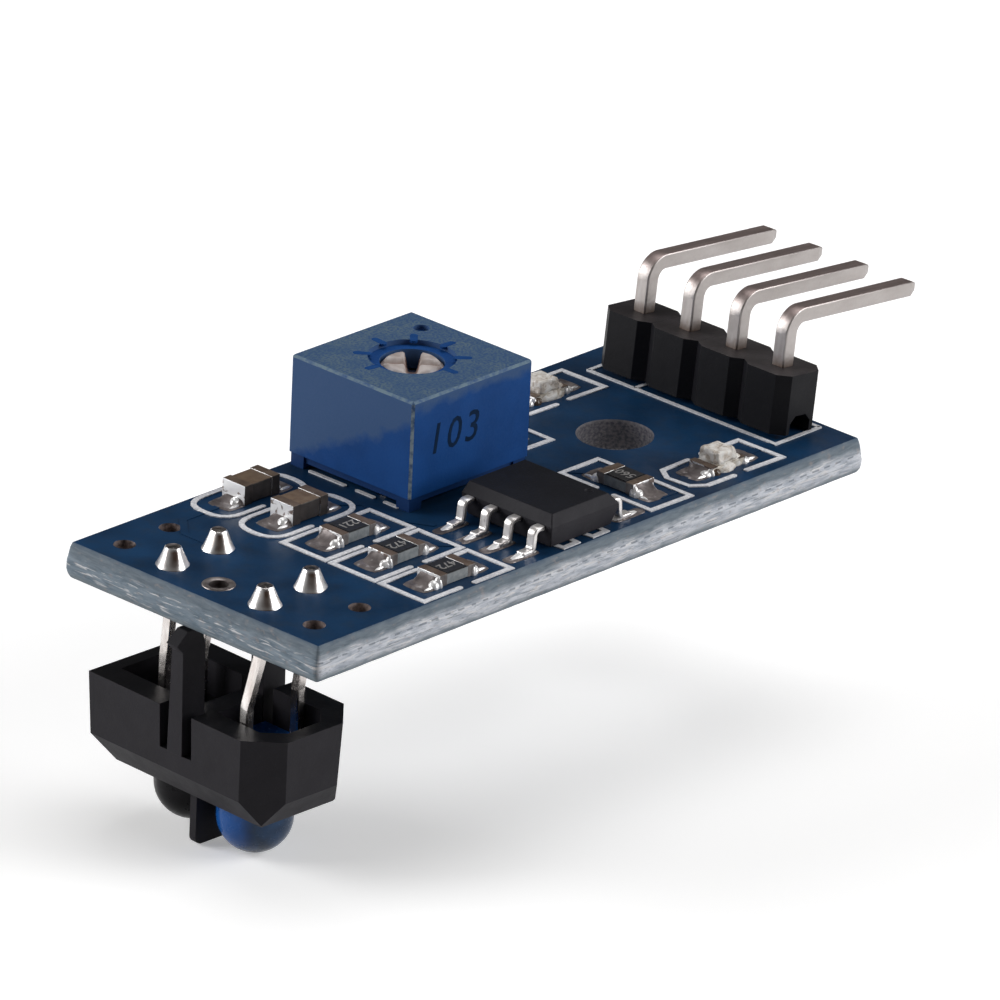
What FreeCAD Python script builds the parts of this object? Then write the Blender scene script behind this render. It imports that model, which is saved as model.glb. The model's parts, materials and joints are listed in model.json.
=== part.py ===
import FreeCAD, Part
import math
import os

# Infrared obstacle sensor module: a small circuit board with a reflective sensor hung below one end,
# a turn-to-set trimmer, a comparator chip, chip parts and a bent pin header.
# All sizes are in millimetres. The origin is the centre of the mounting hole on the board's top face.
# +X runs towards the pin header, +Y across the board and +Z up from the parts side.

# Board
board_length = 32.0
board_width = 14.0
board_thickness = 1.5
hole_to_pin_edge = 7.5
mounting_hole_diameter = 3.2
edge_top_inset = 0.25
edge_shoulder_inset = 0.07
edge_shoulder_drop = 0.5
edge_crown_drop = 1.1
edge_bottom_inset = 0.18

# Plated and spare holes
lead_hole_diameter = 0.95
spare_hole_diameter = 0.9
ring_hole_diameter = 0.8
spare_row_margin = 1.8
header_hole_diameter = 1.2
trimmer_hole_diameter = 0.8

# Sensor leads and their place on the board
sensor_end_margin = 2.9
sensor_grid_y = 0.0
lead_spacing_x = 2.54
lead_spacing_y = 5.08
lead_size = 0.42
lead_stub = 0.78
emitter_lead_margin = 0.22
detector_lead_margin = 0.62
lead_bend_radius = 1.0
lead_straight_below_board = 0.15
lead_straight_above_package = 2.2

# Sensor housing, which sits a little askew of its leads
sensor_shift_x = -0.3
sensor_shift_y = 0.25
sensor_turn = -2.0
housing_gap = 3.5
housing_width = 5.6
housing_length = 10.0
housing_height = 3.8
housing_corner = 1.3
housing_draft = 0.14
housing_bevel_height = 1.26
housing_bevel_side = 0.85
housing_wall_side = 1.15
housing_wall_end = 0.65
housing_floor = 0.8
housing_bevel_flare = 1.0
housing_bevel_step = 0.01
bay_divider = 1.0
bay_divider_drop = 0.4

# Snap legs
leg_width = 0.84
leg_taper = 0.12
leg_thickness = 1.2
leg_slot_width = 0.48
leg_slot_depth = 1.85
leg_relief = 0.15
leg_top_gap = 0.08
barb_reach = 0.32
barb_rise = 0.85
barb_height = 0.35
leg_tip_thickness = 0.8

# Emitter and detector packages
package_clearance = 0.05
package_height = 1.5
lens_radius = 1.55
lens_spacing = 3.6
lens_shank = 0.8
detector_lens_set_back = 0.2
lens_clearance = 0.06
fin_thickness = 0.36
fin_width = 3.3
fin_depth = 2.3
fin_corner = 0.35

# Trimmer
trimmer_x = -8.75
trimmer_side_margin = 3.75
trimmer_size_x = 6.95
trimmer_size_y = 6.75
trimmer_top = 4.78
trimmer_edge = 0.1
trimmer_body_base = 0.6
trimmer_skirt_base = 0.25
trimmer_skirt_inset = 0.2
trimmer_foot = 0.7
trimmer_bore_radius = 2.65
trimmer_pocket_x = 5.8
trimmer_pocket_y = 5.5
trimmer_bore_top = 3.3
trimmer_dial_radius = 1.8
trimmer_dial_depth = 0.22
dial_ticks = 7
dial_tick_length = 0.5
dial_tick_width = 0.16
dial_tick_depth = 0.12
dial_tick_overlap = 0.05
dial_sweep = 260.0
key_recess_radius = 0.34
key_recess_x = 2.45
key_recess_y = 1.85

# Trimmer rotor and what it carries
rotor_radius = 1.28
rotor_running_clearance = 0.05
rotor_sink = 0.18
rotor_flange_radius = 2.4
rotor_flange_thickness = 1.15
rotor_axial_clearance = 0.05
rotor_slot_width = 0.54
rotor_slot_length = 2.7
rotor_slot_depth = 0.85
rotor_turn = 42.0
rotor_crown = 0.18
seal_ring_size = 0.4
seal_ring_clearance = 0.03
wiper_thickness = 0.1
wiper_plate_length = 3.0
wiper_plate_width = 1.5
wiper_finger_root = 1.1
wiper_finger_width = 0.5
wiper_finger_reach = 2.2
wiper_gap = 0.03

# Trimmer element, seal and pins
element_clearance = 0.05
element_thickness = 0.6
element_base = 1.0
base_seal_bottom = 0.35
trimmer_pin_width = 0.5
trimmer_pin_thickness = 0.3
trimmer_pin_tail = 1.0
trimmer_pin_spread = 2.54
trimmer_pin_offset = 1.27

# Comparator chip
chip_x = -8.85
chip_side_margin = 2.95
chip_width = 3.9
chip_length = 4.9
chip_standoff = 0.12
chip_top = 1.55
chip_lead_height = 0.96
chip_draft = 0.2
chip_bevel = 0.25
chip_dot_radius = 0.17
chip_dot_depth = 0.07
chip_dot_inset = 0.65
chip_lead_pitch = 1.27
chip_leads_per_side = 4
chip_lead_width = 0.42
chip_lead_thickness = 0.2
chip_lead_shoulder = 0.5
chip_lead_span = 6.3
chip_lead_foot = 0.62
chip_lead_bend = 0.12

# Chip resistors and capacitors
passive_x = -15.6
passive_side_margin = 1.65
passive_pitch = 2.68
chip_part_length = 2.0
chip_part_width = 1.25
resistor_height = 0.5
resistor_band = 0.42
capacitor_height = 0.85
capacitor_band = 0.45
termination_thickness = 0.03
overcoat_thickness = 0.03
overcoat_margin = 0.06
upright_resistor_x = -3.54
upright_resistor_margin = 3.19

# Indicator lamps
lamp_x = 0.78
lamp_side_margin = 2.12
lamp_base_thickness = 0.3
lamp_lens_length = 1.25
lamp_lens_height = 0.55
lamp_lens_draft = 0.09
lamp_pad_length = 0.35

# Pin header, which leans a little towards the pin end
header_end_margin = 1.92
header_y = 0.1
header_pins = 4
header_pitch = 2.54
header_width = 2.5
header_height = 2.54
header_notch = 0.35
header_notch_run = 0.5
header_end_cut = 0.45
header_channel_width = 1.2
header_channel_depth = 0.75
header_channel_side = 0.45
header_channel_crown = 0.3
header_tilt = 5.5
pin_size = 0.64
pin_rise = 4.98
pin_reach = 7.7
pin_tail = 1.4
pin_bend_radius = 0.42
pin_tip_length = 0.4
pin_tip_size = 0.34

# Solder
sensor_solder_radius = 0.68
sensor_solder_height = 0.76
header_solder_radius = 0.95
header_solder_height = 0.9
trimmer_solder_radius = 0.75
trimmer_solder_height = 0.7
solder_collar = 0.08
toe_solder_run = 0.45
toe_solder_rise = 0.3
toe_solder_hollow = 0.38
chip_solder_run = 0.88
chip_solder_width = 1.15
chip_solder_rise = 0.38

board_bottom = -board_thickness
board_centre_x = hole_to_pin_edge - board_length / 2
board_side = board_width / 2
spare_row_y = board_side - spare_row_margin
sensor_grid_x = hole_to_pin_edge - board_length + sensor_end_margin
trimmer_y = board_side - trimmer_side_margin
chip_y = chip_side_margin - board_side
upright_resistor_y = board_side - upright_resistor_margin
lamp_y = board_side - lamp_side_margin
header_x = hole_to_pin_edge - header_end_margin
sensor_x = sensor_grid_x + sensor_shift_x
sensor_y = sensor_grid_y + sensor_shift_y
housing_rim = board_bottom - housing_gap
housing_bottom = housing_rim - housing_height
package_bottom = housing_bottom + housing_floor
package_back = package_bottom + package_height
package_half_width = housing_width / 2 - housing_wall_side - package_clearance
passive_rows = [passive_side_margin - board_side + passive_pitch * row for row in range(5)]
sensor_leads = ["emitter_lead_1", "emitter_lead_2", "detector_lead_1", "detector_lead_2"]

nodes = {}


def vec(x, y, z):
    return FreeCAD.Vector(x, y, z)


def block(x0, x1, y0, y1, z0, z1):
    # Box given by its limits.
    return Part.makeBox(x1 - x0, y1 - y0, z1 - z0, vec(x0, y0, z0))


def centred_block(x, y, size_x, size_y, z0, z1):
    return block(x - size_x / 2, x + size_x / 2, y - size_y / 2, y + size_y / 2, z0, z1)


def rod(x, y, radius, z0, z1):
    return Part.makeCylinder(radius, z1 - z0, vec(x, y, z0))


def closed_wire(points):
    return Part.makePolygon(list(points) + [points[0]])


def rectangle(x, y, size_x, size_y, z):
    a, b = size_x / 2, size_y / 2
    return closed_wire([vec(x - a, y - b, z), vec(x + a, y - b, z),
                        vec(x + a, y + b, z), vec(x - a, y + b, z)])


def stacked(x, y, size_x, size_y, levels):
    # Solid with flat sides through one rectangle at each level; a level is (height, inset).
    wires = [rectangle(x, y, size_x - 2 * inset, size_y - 2 * inset, z) for z, inset in levels]
    return Part.makeLoft(wires, True, True)


def prism_along_y(points, y0, y1):
    # Outline of (x, z) points carried from y0 to y1.
    face = Part.Face(closed_wire([vec(x, y0, z) for x, z in points]))
    return face.extrude(vec(0, y1 - y0, 0))


def turned(x, y, profile):
    # Ring or disc turned about a vertical axis; the profile is a closed list of (radius, height).
    face = Part.Face(closed_wire([vec(x + r, y, z) for r, z in profile]))
    return face.revolve(vec(x, y, 0), vec(0, 0, 1), 360)


def rounded_edges(points, radius):
    # Straight runs through the points with a tangent arc at each corner.
    edges = []
    start = points[0]
    for before, corner, after in zip(points, points[1:], points[2:]):
        way_in = (corner - before).normalize()
        way_out = (after - corner).normalize()
        half = way_in.getAngle(way_out) / 2
        trim = radius * math.tan(half)
        first = corner - way_in * trim
        last = corner + way_out * trim
        towards_centre = (way_out - way_in).normalize()
        middle = corner + towards_centre * (radius / math.cos(half) - radius)
        edges.append(Part.LineSegment(start, first).toShape())
        edges.append(Part.Arc(first, middle, last).toShape())
        start = last
    edges.append(Part.LineSegment(start, points[-1]).toShape())
    return edges


def swept_bar(points, bend_radius, size_y, size_across):
    # Rectangular bar along the points, with one side kept along Y.
    way = (points[1] - points[0]).normalize()
    side = vec(0, size_y / 2, 0)
    across = side.cross(way).normalize() * (size_across / 2)
    start = points[0]
    profile = closed_wire([start + side + across, start - side + across,
                           start - side - across, start + side - across])
    path = Part.Wire(rounded_edges(points, bend_radius))
    return path.makePipeShell([profile], True, False)


def tapered_tip(base, way, size, tip_size, length):
    # Square point at the end of a bar, from the bar's size down to the tip's size.
    side = vec(0, 1, 0)
    across = side.cross(way).normalize()
    wires = []
    for centre, half in ((base, size / 2), (base + way * length, tip_size / 2)):
        a, b = side * half, across * half
        wires.append(closed_wire([centre + a + b, centre - a + b, centre - a - b, centre + a - b]))
    return Part.makeLoft(wires, True, True)


def mirrored_pair(shape, x, y):
    # The shape and its copy turned half a turn about the vertical axis through (x, y).
    other = shape.copy()
    other.rotate(vec(x, y, 0), vec(0, 0, 1), 180)
    return [shape, other]


def fused(shapes):
    return shapes[0].fuse(shapes[1:]).removeSplitter()


def cut_all(shape, tools):
    return shape.cut(tools) if tools else shape


def add(name, shapes):
    # One node: a single solid or a group of separate like solids.
    shapes = shapes if isinstance(shapes, list) else [shapes]
    solids = [solid for shape in shapes for solid in shape.Solids]
    nodes[name] = solids[0] if len(solids) == 1 else Part.makeCompound(solids)


def lead_holes():
    # Board positions of the four sensor leads.
    out = []
    for side_y in (-1, 1):
        for side_x in (-1, 1):
            out.append((sensor_grid_x + side_x * lead_spacing_x / 2,
                        sensor_grid_y + side_y * lead_spacing_y / 2))
    return out


def header_rows():
    return [header_y + header_pitch * (pin - (header_pins - 1) / 2) for pin in range(header_pins)]


def header_hole_x():
    # The leaning pins pass the middle of the board's thickness a little behind the strip's centre.
    return header_x - board_thickness / 2 * math.sin(math.radians(header_tilt))


def trimmer_pins():
    return [(trimmer_x - trimmer_pin_spread, trimmer_y - trimmer_pin_offset),
            (trimmer_x, trimmer_y + trimmer_pin_offset),
            (trimmer_x + trimmer_pin_spread, trimmer_y - trimmer_pin_offset)]


def make_board():
    levels = [(0.0, edge_top_inset), (-edge_shoulder_drop, edge_shoulder_inset), (-edge_crown_drop, 0.0),
              (board_bottom, edge_bottom_inset)]
    board = stacked(board_centre_x, 0, board_length, board_width, levels)
    holes = [(0, 0, mounting_hole_diameter)]
    holes += [(x, y, lead_hole_diameter) for x, y in lead_holes()]
    columns = [sensor_grid_x - lead_spacing_x / 2, sensor_grid_x + lead_spacing_x / 2]
    holes += [(x, side * spare_row_y, spare_hole_diameter) for x in columns for side in (-1, 1)]
    holes.append((columns[0], sensor_grid_y, ring_hole_diameter))
    holes += [(header_hole_x(), y, header_hole_diameter) for y in header_rows()]
    holes += [(x, y, trimmer_hole_diameter) for x, y in trimmer_pins()]
    tools = [rod(x, y, diameter / 2, board_bottom - 1, 1) for x, y, diameter in holes]
    add("circuit_board", cut_all(board, tools))


def placed_sensor(shape):
    # From the housing's own axes to its place and turn below the board.
    out = shape.copy()
    out.rotate(vec(0, 0, 0), vec(0, 0, 1), sensor_turn)
    out.translate(vec(sensor_x, sensor_y, 0))
    return out


def sensor_point(x, y, z):
    angle = math.radians(sensor_turn)
    turned_x = x * math.cos(angle) - y * math.sin(angle)
    turned_y = x * math.sin(angle) + y * math.cos(angle)
    return vec(sensor_x + turned_x, sensor_y + turned_y, z)


def housing_outline(z, inset, corner):
    # Rectangle with both corners at the emitter's end cut off.
    a = housing_width / 2 - inset
    b = housing_length / 2 - inset
    return closed_wire([vec(-a, b, z), vec(-a, corner - b, z), vec(corner - a, -b, z),
                        vec(a - corner, -b, z), vec(a, corner - b, z), vec(a, b, z)])


def bay_outline(end, clearance, z):
    # Plan of one bay, or of the package in it; end is -1 for the emitter and 1 for the detector.
    a = housing_width / 2 - housing_wall_side - clearance
    near = bay_divider / 2 + clearance
    far = housing_length / 2 - housing_wall_end - clearance
    if end > 0:
        return closed_wire([vec(-a, near, z), vec(a, near, z), vec(a, far, z), vec(-a, far, z)])
    corner = housing_corner - (housing_wall_side + housing_wall_end) / 2 * (2 - math.sqrt(2))
    return closed_wire([vec(-a, -near, z), vec(-a, corner - far, z), vec(corner - a, -far, z),
                        vec(a - corner, -far, z), vec(a, corner - far, z), vec(a, -near, z)])


def solid_between(wire, height):
    return Part.Face(wire).extrude(vec(0, 0, height))


def snap_leg(side):
    # Springy leg with a barb, drawn on the +X side and turned round for the other.
    outer = housing_width / 2
    inner = outer - leg_thickness
    root = housing_rim - leg_slot_depth
    top = board_bottom - leg_top_gap
    shoulder = top - barb_rise
    outline = [(inner, root), (outer, root), (outer, shoulder),
               (outer + barb_reach, shoulder + barb_height),
               (inner + leg_tip_thickness + leg_relief, top), (inner + leg_relief, top), (inner, shoulder)]
    leg = prism_along_y(outline, -leg_width / 2, leg_width / 2)
    taper = stacked(0, 0, 2 * housing_width, leg_width, [(root, 0), (top, leg_taper)])
    leg = leg.common(taper)
    return leg if side > 0 else mirrored_pair(leg, 0, 0)[1]


def make_housing():
    bevel_start = housing_bottom + housing_bevel_height
    body = Part.makeLoft([housing_outline(housing_rim, 0, housing_corner),
                          housing_outline(housing_bottom, housing_draft, housing_corner)], True, True)
    bevel = stacked(0, 0, housing_width, housing_length,
                    [(housing_bottom, housing_bevel_side), (bevel_start, 0),
                     (bevel_start + housing_bevel_step, -housing_bevel_flare),
                     (housing_rim, -housing_bevel_flare)])
    body = body.common(bevel)
    tools = []
    for end in (-1, 1):
        tools.append(solid_between(bay_outline(end, 0, package_bottom), housing_rim - package_bottom + 1))
        tools.append(rod(0, end * lens_spacing / 2, lens_radius + lens_clearance,
                         housing_bottom - 1, package_bottom + 1))
    slot_root = housing_rim - leg_slot_depth
    reach = housing_width / 2 - leg_thickness
    for side in (-1, 1):
        x0, x1 = sorted((side * (reach - leg_relief), side * housing_width))
        half = leg_width / 2 + leg_slot_width
        tools.append(block(x0, x1, -half, half, slot_root, housing_rim + 1))
    tools.append(block(-housing_width / 2 + housing_wall_side, housing_width / 2 - housing_wall_side,
                       -bay_divider, bay_divider, housing_rim - bay_divider_drop, housing_rim + 1))
    body = cut_all(body, tools)
    fin = block(-fin_width / 2, fin_width / 2, -fin_thickness / 2, fin_thickness / 2,
                housing_bottom - fin_depth, housing_bottom)
    lower = [edge for edge in fin.Edges if edge.BoundBox.XLength < 0.001 and edge.BoundBox.ZLength < 0.001
             and edge.BoundBox.ZMin < housing_bottom - fin_depth + 0.001]
    fin = fin.makeFillet(fin_corner, lower)
    add("sensor_housing", placed_sensor(fused([body, fin, snap_leg(-1), snap_leg(1)])))


def make_packages():
    for end, name, set_back in ((-1, "sensor_emitter", 0), (1, "sensor_detector", detector_lens_set_back)):
        y = end * lens_spacing / 2
        base = solid_between(bay_outline(end, package_clearance, package_bottom), package_height)
        centre = housing_bottom - lens_shank + set_back
        shank = rod(0, y, lens_radius, centre, package_bottom)
        ball = Part.makeSphere(lens_radius, vec(0, y, centre))
        add(name, placed_sensor(fused([base, shank, ball])))


def make_sensor_leads():
    for name, (x, y) in zip(sensor_leads, lead_holes()):
        margin = emitter_lead_margin if y < sensor_grid_y else detector_lead_margin
        start_x = math.copysign(package_half_width - margin, x - sensor_grid_x)
        start = sensor_point(start_x, y - sensor_grid_y, package_back)
        points = [start, start + vec(0, 0, lead_straight_above_package),
                  vec(x, y, board_bottom - lead_straight_below_board), vec(x, y, lead_stub)]
        add(name, swept_bar(points, lead_bend_radius, lead_size, lead_size))


def make_trimmer():
    x, y = trimmer_x, trimmer_y
    body = centred_block(x, y, trimmer_size_x, trimmer_size_y, trimmer_body_base, trimmer_top)
    sharp = [edge for edge in body.Edges
             if edge.BoundBox.ZLength > 1 or edge.BoundBox.ZMin > trimmer_top - 0.01]
    body = body.makeChamfer(trimmer_edge, sharp)
    skirt = centred_block(x, y, trimmer_size_x - 2 * trimmer_skirt_inset,
                          trimmer_size_y - 2 * trimmer_skirt_inset, trimmer_skirt_base, trimmer_body_base)
    feet = []
    for side_x in (-1, 1):
        for side_y in (-1, 1):
            foot_x = x + side_x * (trimmer_size_x / 2 - trimmer_edge - trimmer_foot / 2)
            foot_y = y + side_y * (trimmer_size_y / 2 - trimmer_edge - trimmer_foot / 2)
            feet.append(centred_block(foot_x, foot_y, trimmer_foot, trimmer_foot, 0, trimmer_body_base))
    body = fused([body, skirt] + feet)
    hole_radius = rotor_radius + rotor_running_clearance
    groove = hole_radius + seal_ring_size + seal_ring_clearance
    groove_top = trimmer_bore_top + seal_ring_size + seal_ring_clearance
    dial_floor = trimmer_top - trimmer_dial_depth
    tools = [centred_block(x, y, trimmer_pocket_x, trimmer_pocket_y, -1, element_base + element_thickness),
             rod(x, y, trimmer_bore_radius, 0, trimmer_bore_top),
             rod(x, y, groove, trimmer_bore_top, groove_top),
             rod(x, y, hole_radius, trimmer_bore_top, trimmer_top + 1),
             rod(x, y, trimmer_dial_radius, dial_floor, trimmer_top + 1),
             rod(x + key_recess_x, y + key_recess_y, key_recess_radius, dial_floor, trimmer_top + 1)]
    tick_x = x + trimmer_dial_radius + dial_tick_length / 2 - dial_tick_overlap
    for tick in range(dial_ticks):
        mark = centred_block(tick_x, y, dial_tick_length, dial_tick_width,
                             trimmer_top - dial_tick_depth, trimmer_top + 1)
        angle = dial_sweep * (tick / (dial_ticks - 1) - 0.5) + rotor_turn
        mark.rotate(vec(x, y, 0), vec(0, 0, 1), angle)
        tools.append(mark)
    add("trimmer_body", cut_all(body, tools))


def make_rotor():
    x, y = trimmer_x, trimmer_y
    flange_top = trimmer_bore_top - rotor_axial_clearance
    flange_base = flange_top - rotor_flange_thickness
    head_top = trimmer_top - rotor_sink
    profile = [(0, flange_base), (rotor_flange_radius, flange_base), (rotor_flange_radius, flange_top),
               (rotor_radius, flange_top), (rotor_radius, head_top - rotor_crown),
               (rotor_radius - rotor_crown, head_top), (0, head_top)]
    rotor = turned(x, y, profile)
    tools = []
    for quarter in (0, 90):
        slot = centred_block(x, y, rotor_slot_length, rotor_slot_width,
                             head_top - rotor_slot_depth, head_top + 1)
        slot.rotate(vec(x, y, 0), vec(0, 0, 1), rotor_turn + quarter)
        tools.append(slot)
    add("trimmer_rotor", cut_all(rotor, tools))

    plate_base = flange_base - wiper_thickness
    plate = centred_block(x, y, wiper_plate_length, wiper_plate_width, plate_base, flange_base)
    track = element_base + element_thickness + wiper_gap
    finger = prism_along_y([(wiper_finger_root, plate_base), (wiper_finger_reach, track),
                            (wiper_finger_reach, track + wiper_thickness),
                            (wiper_finger_root + wiper_thickness, flange_base)],
                           -wiper_finger_width / 2, wiper_finger_width / 2)
    finger.translate(vec(x, y, 0))
    wiper = fused([plate] + mirrored_pair(finger, x, y))
    wiper.rotate(vec(x, y, 0), vec(0, 0, 1), rotor_turn)
    add("trimmer_wiper", wiper)

    inner = rotor_radius + rotor_running_clearance
    outer = inner + seal_ring_size
    base = trimmer_bore_top
    top = base + seal_ring_size
    ring = turned(x, y, [(inner, base), (outer, base), (outer, top), (inner, top)])
    add("trimmer_seal_ring", ring)


def make_trimmer_base():
    x, y = trimmer_x, trimmer_y
    element = centred_block(x, y, trimmer_pocket_x - 2 * element_clearance,
                            trimmer_pocket_y - 2 * element_clearance,
                            element_base, element_base + element_thickness)
    add("trimmer_element", element)
    seal = centred_block(x, y, trimmer_pocket_x, trimmer_pocket_y, base_seal_bottom, element_base)
    pins = []
    for pin_x, pin_y in trimmer_pins():
        pins.append(centred_block(pin_x, pin_y, trimmer_pin_width, trimmer_pin_thickness,
                                  board_bottom - trimmer_pin_tail, element_base))
    add("trimmer_base_seal", cut_all(seal, pins))
    for number, pin in enumerate(pins, 1):
        add("trimmer_pin_%d" % number, pin)


def make_chip():
    x, y = chip_x, chip_y
    body = stacked(x, y, chip_width, chip_length,
                   [(chip_standoff, chip_draft), (chip_lead_height - chip_lead_thickness / 2, 0),
                    (chip_lead_height + chip_lead_thickness / 2, 0), (chip_top, chip_draft)])
    edge_x = x + chip_width / 2 - chip_draft
    above = chip_top + chip_bevel
    below = chip_top - chip_bevel - chip_draft
    bevel = prism_along_y([(edge_x - chip_bevel, chip_top), (edge_x + chip_draft, below),
                           (edge_x + chip_draft, above), (edge_x - chip_bevel, above)],
                          y - chip_length, y + chip_length)
    dot_x = x + chip_width / 2 - chip_draft - chip_dot_inset
    dot_y = y - chip_length / 2 + chip_draft + chip_dot_inset
    dot = rod(dot_x, dot_y, chip_dot_radius, chip_top - chip_dot_depth, chip_top + 1)
    add("comparator_body", cut_all(body, [bevel, dot]))

    side = chip_width / 2
    foot_height = chip_lead_thickness / 2
    run = [(side, chip_lead_height), (side + chip_lead_shoulder, chip_lead_height),
           (chip_lead_span / 2 - chip_lead_foot, foot_height), (chip_lead_span / 2, foot_height)]
    number = 0
    toes = []
    for direction in (1, -1):
        for place in range(chip_leads_per_side):
            number += 1
            lead_y = y + direction * chip_lead_pitch * (place - (chip_leads_per_side - 1) / 2)
            points = [vec(x + direction * px, lead_y, pz) for px, pz in run]
            bend = chip_lead_bend + chip_lead_thickness / 2
            lead = swept_bar(points, bend, chip_lead_width, chip_lead_thickness)
            add("comparator_lead_%d" % number, lead)
            toes.append(solder_toe(x + direction * chip_lead_span / 2, lead_y, direction, chip_lead_width,
                                   toe_solder_run, toe_solder_rise))
    add("comparator_solder", toes)


def solder_toe(x, y, direction, width, run, rise):
    # Sloping fillet of solder from a part's end down to the far end of its pad, standing out along X.
    waist = (x + direction * run * toe_solder_hollow, rise * toe_solder_hollow)
    return prism_along_y([(x, 0), (x, rise), waist, (x + direction * run, 0)], y - width / 2, y + width / 2)


def end_solder(height):
    # Solder at both ends of a chip part that lies along X at the origin.
    return mirrored_pair(solder_toe(chip_part_length / 2, 0, 1, chip_solder_width, chip_solder_run,
                                    min(chip_solder_rise, height)), 0, 0)


def terminations(height, band, wrap_sides):
    # Metal ends folded round a chip part: over, under and over its end, and round its sides where asked.
    half = chip_part_length / 2
    skin = termination_thickness
    side = skin if wrap_sides else 0
    core = centred_block(0, 0, chip_part_length - 2 * skin, chip_part_width - 2 * side, skin, height - skin)
    end = block(half - band, half, -chip_part_width / 2, chip_part_width / 2, 0, height)
    return mirrored_pair(end.cut(core), 0, 0), core


def place_chip_part(shape, x, y, upright):
    out = shape.copy()
    if upright:
        out.rotate(vec(0, 0, 0), vec(0, 0, 1), 90)
    out.translate(vec(x, y, 0))
    return out


def make_passives():
    solder = []
    places = [(passive_x, passive_rows[2 - row], False) for row in range(3)]
    places += [(upright_resistor_x, side * upright_resistor_y, True) for side in (-1, 1)]
    for number, (x, y, upright) in enumerate(places, 1):
        ends, core = terminations(resistor_height, resistor_band, False)
        coat = centred_block(0, 0, chip_part_length - 2 * resistor_band - 2 * overcoat_margin,
                             chip_part_width - 2 * overcoat_margin, resistor_height - termination_thickness,
                             resistor_height - termination_thickness + overcoat_thickness)
        add("resistor_%d" % number, place_chip_part(fused([core, coat]), x, y, upright))
        add("resistor_ends_%d" % number, [place_chip_part(end, x, y, upright) for end in ends])
        solder += [place_chip_part(shape, x, y, upright) for shape in end_solder(resistor_height)]
    for number, y in enumerate((passive_rows[4], passive_rows[3]), 1):
        ends, core = terminations(capacitor_height, capacitor_band, True)
        add("capacitor_%d" % number, place_chip_part(core, passive_x, y, False))
        add("capacitor_ends_%d" % number, [place_chip_part(end, passive_x, y, False) for end in ends])
        solder += [place_chip_part(shape, passive_x, y, False) for shape in end_solder(capacitor_height)]
    for name, y in (("output_lamp", -lamp_y), ("power_lamp", lamp_y)):
        make_lamp(name, y)
        solder += [place_chip_part(shape, lamp_x, y, False) for shape in end_solder(lamp_base_thickness)]
    add("chip_part_solder", solder)


def make_lamp(name, y):
    # Chip lamp: a flat base, two ends plated over and down, and a clear moulded top.
    half = chip_part_length / 2
    skin = termination_thickness
    base = centred_block(0, 0, chip_part_length - 2 * skin, chip_part_width, 0, lamp_base_thickness)
    end = block(half - lamp_pad_length, half, -chip_part_width / 2, chip_part_width / 2,
                0, lamp_base_thickness + skin)
    ends = mirrored_pair(end.cut(base), 0, 0)
    lens = stacked(0, 0, lamp_lens_length, chip_part_width,
                   [(lamp_base_thickness, 0), (lamp_base_thickness + lamp_lens_height, lamp_lens_draft)])
    pieces = ((name + "_base", [base]), (name + "_ends", ends), (name + "_lens", [lens]))
    for part, shapes in pieces:
        add(part, [place_chip_part(shape, lamp_x, y, False) for shape in shapes])


def tilted(shape):
    # The header leans about the lower edge of its strip on the pin side.
    out = shape.copy()
    out.rotate(vec(header_x + header_width / 2, 0, 0), vec(0, 1, 0), header_tilt)
    return out


def header_strip_outline():
    # Plan of the strip: notched between pins and cut off at the four corners.
    half = header_width / 2
    length = header_pitch * header_pins
    points = []
    for side in (1, -1):
        for pin in range(header_pins):
            low = pin * header_pitch
            first = header_end_cut if pin == 0 else header_notch
            last = header_end_cut if pin == header_pins - 1 else header_notch
            stretch = [(half - first, low), (half, low + header_notch_run),
                       (half, low + header_pitch - header_notch_run), (half - last, low + header_pitch)]
            start = 1 if 0 < pin else 0
            points += [(side * px, side * (py - length / 2)) for px, py in stretch[start:]]
    return [vec(header_x + px, header_y + py, 0) for px, py in points]


def make_header():
    strip = solid_between(closed_wire(header_strip_outline()), header_height)
    length = header_pitch * header_pins
    half = header_channel_width / 2
    crown = header_channel_crown
    channel = prism_along_y([(header_x - half, -1), (header_x - half, header_channel_side),
                             (header_x - crown, header_channel_depth),
                             (header_x + crown, header_channel_depth),
                             (header_x + half, header_channel_side), (header_x + half, -1)],
                            header_y - length, header_y + length)
    strip = strip.cut(channel)
    pins = []
    for y in header_rows():
        axis_z = pin_rise - pin_size / 2
        shank_end = header_x + pin_reach - pin_tip_length
        tail_end = board_bottom - pin_tail + pin_tip_length
        points = [vec(header_x, y, tail_end), vec(header_x, y, axis_z), vec(shank_end, y, axis_z)]
        bar = swept_bar(points, pin_bend_radius + pin_size / 2, pin_size, pin_size)
        tips = [tapered_tip(points[0], vec(0, 0, -1), pin_size, pin_tip_size, pin_tip_length),
                tapered_tip(points[2], vec(1, 0, 0), pin_size, pin_tip_size, pin_tip_length)]
        pins.append(fused([bar] + tips))
    add("header_strip", tilted(cut_all(strip, pins)))
    leaning = [tilted(pin) for pin in pins]
    for number, pin in enumerate(leaning, 1):
        add("header_pin_%d" % number, pin)
    return leaning


def solder_cone(x, y, radius, height, core_size, downwards):
    # Cone of solder round a lead, with its foot on one face of the board.
    top_radius = core_size / 2 + solder_collar
    if downwards:
        return Part.makeCone(radius, top_radius, height, vec(x, y, board_bottom), vec(0, 0, -1))
    return Part.makeCone(radius, top_radius, height, vec(x, y, 0), vec(0, 0, 1))


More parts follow.
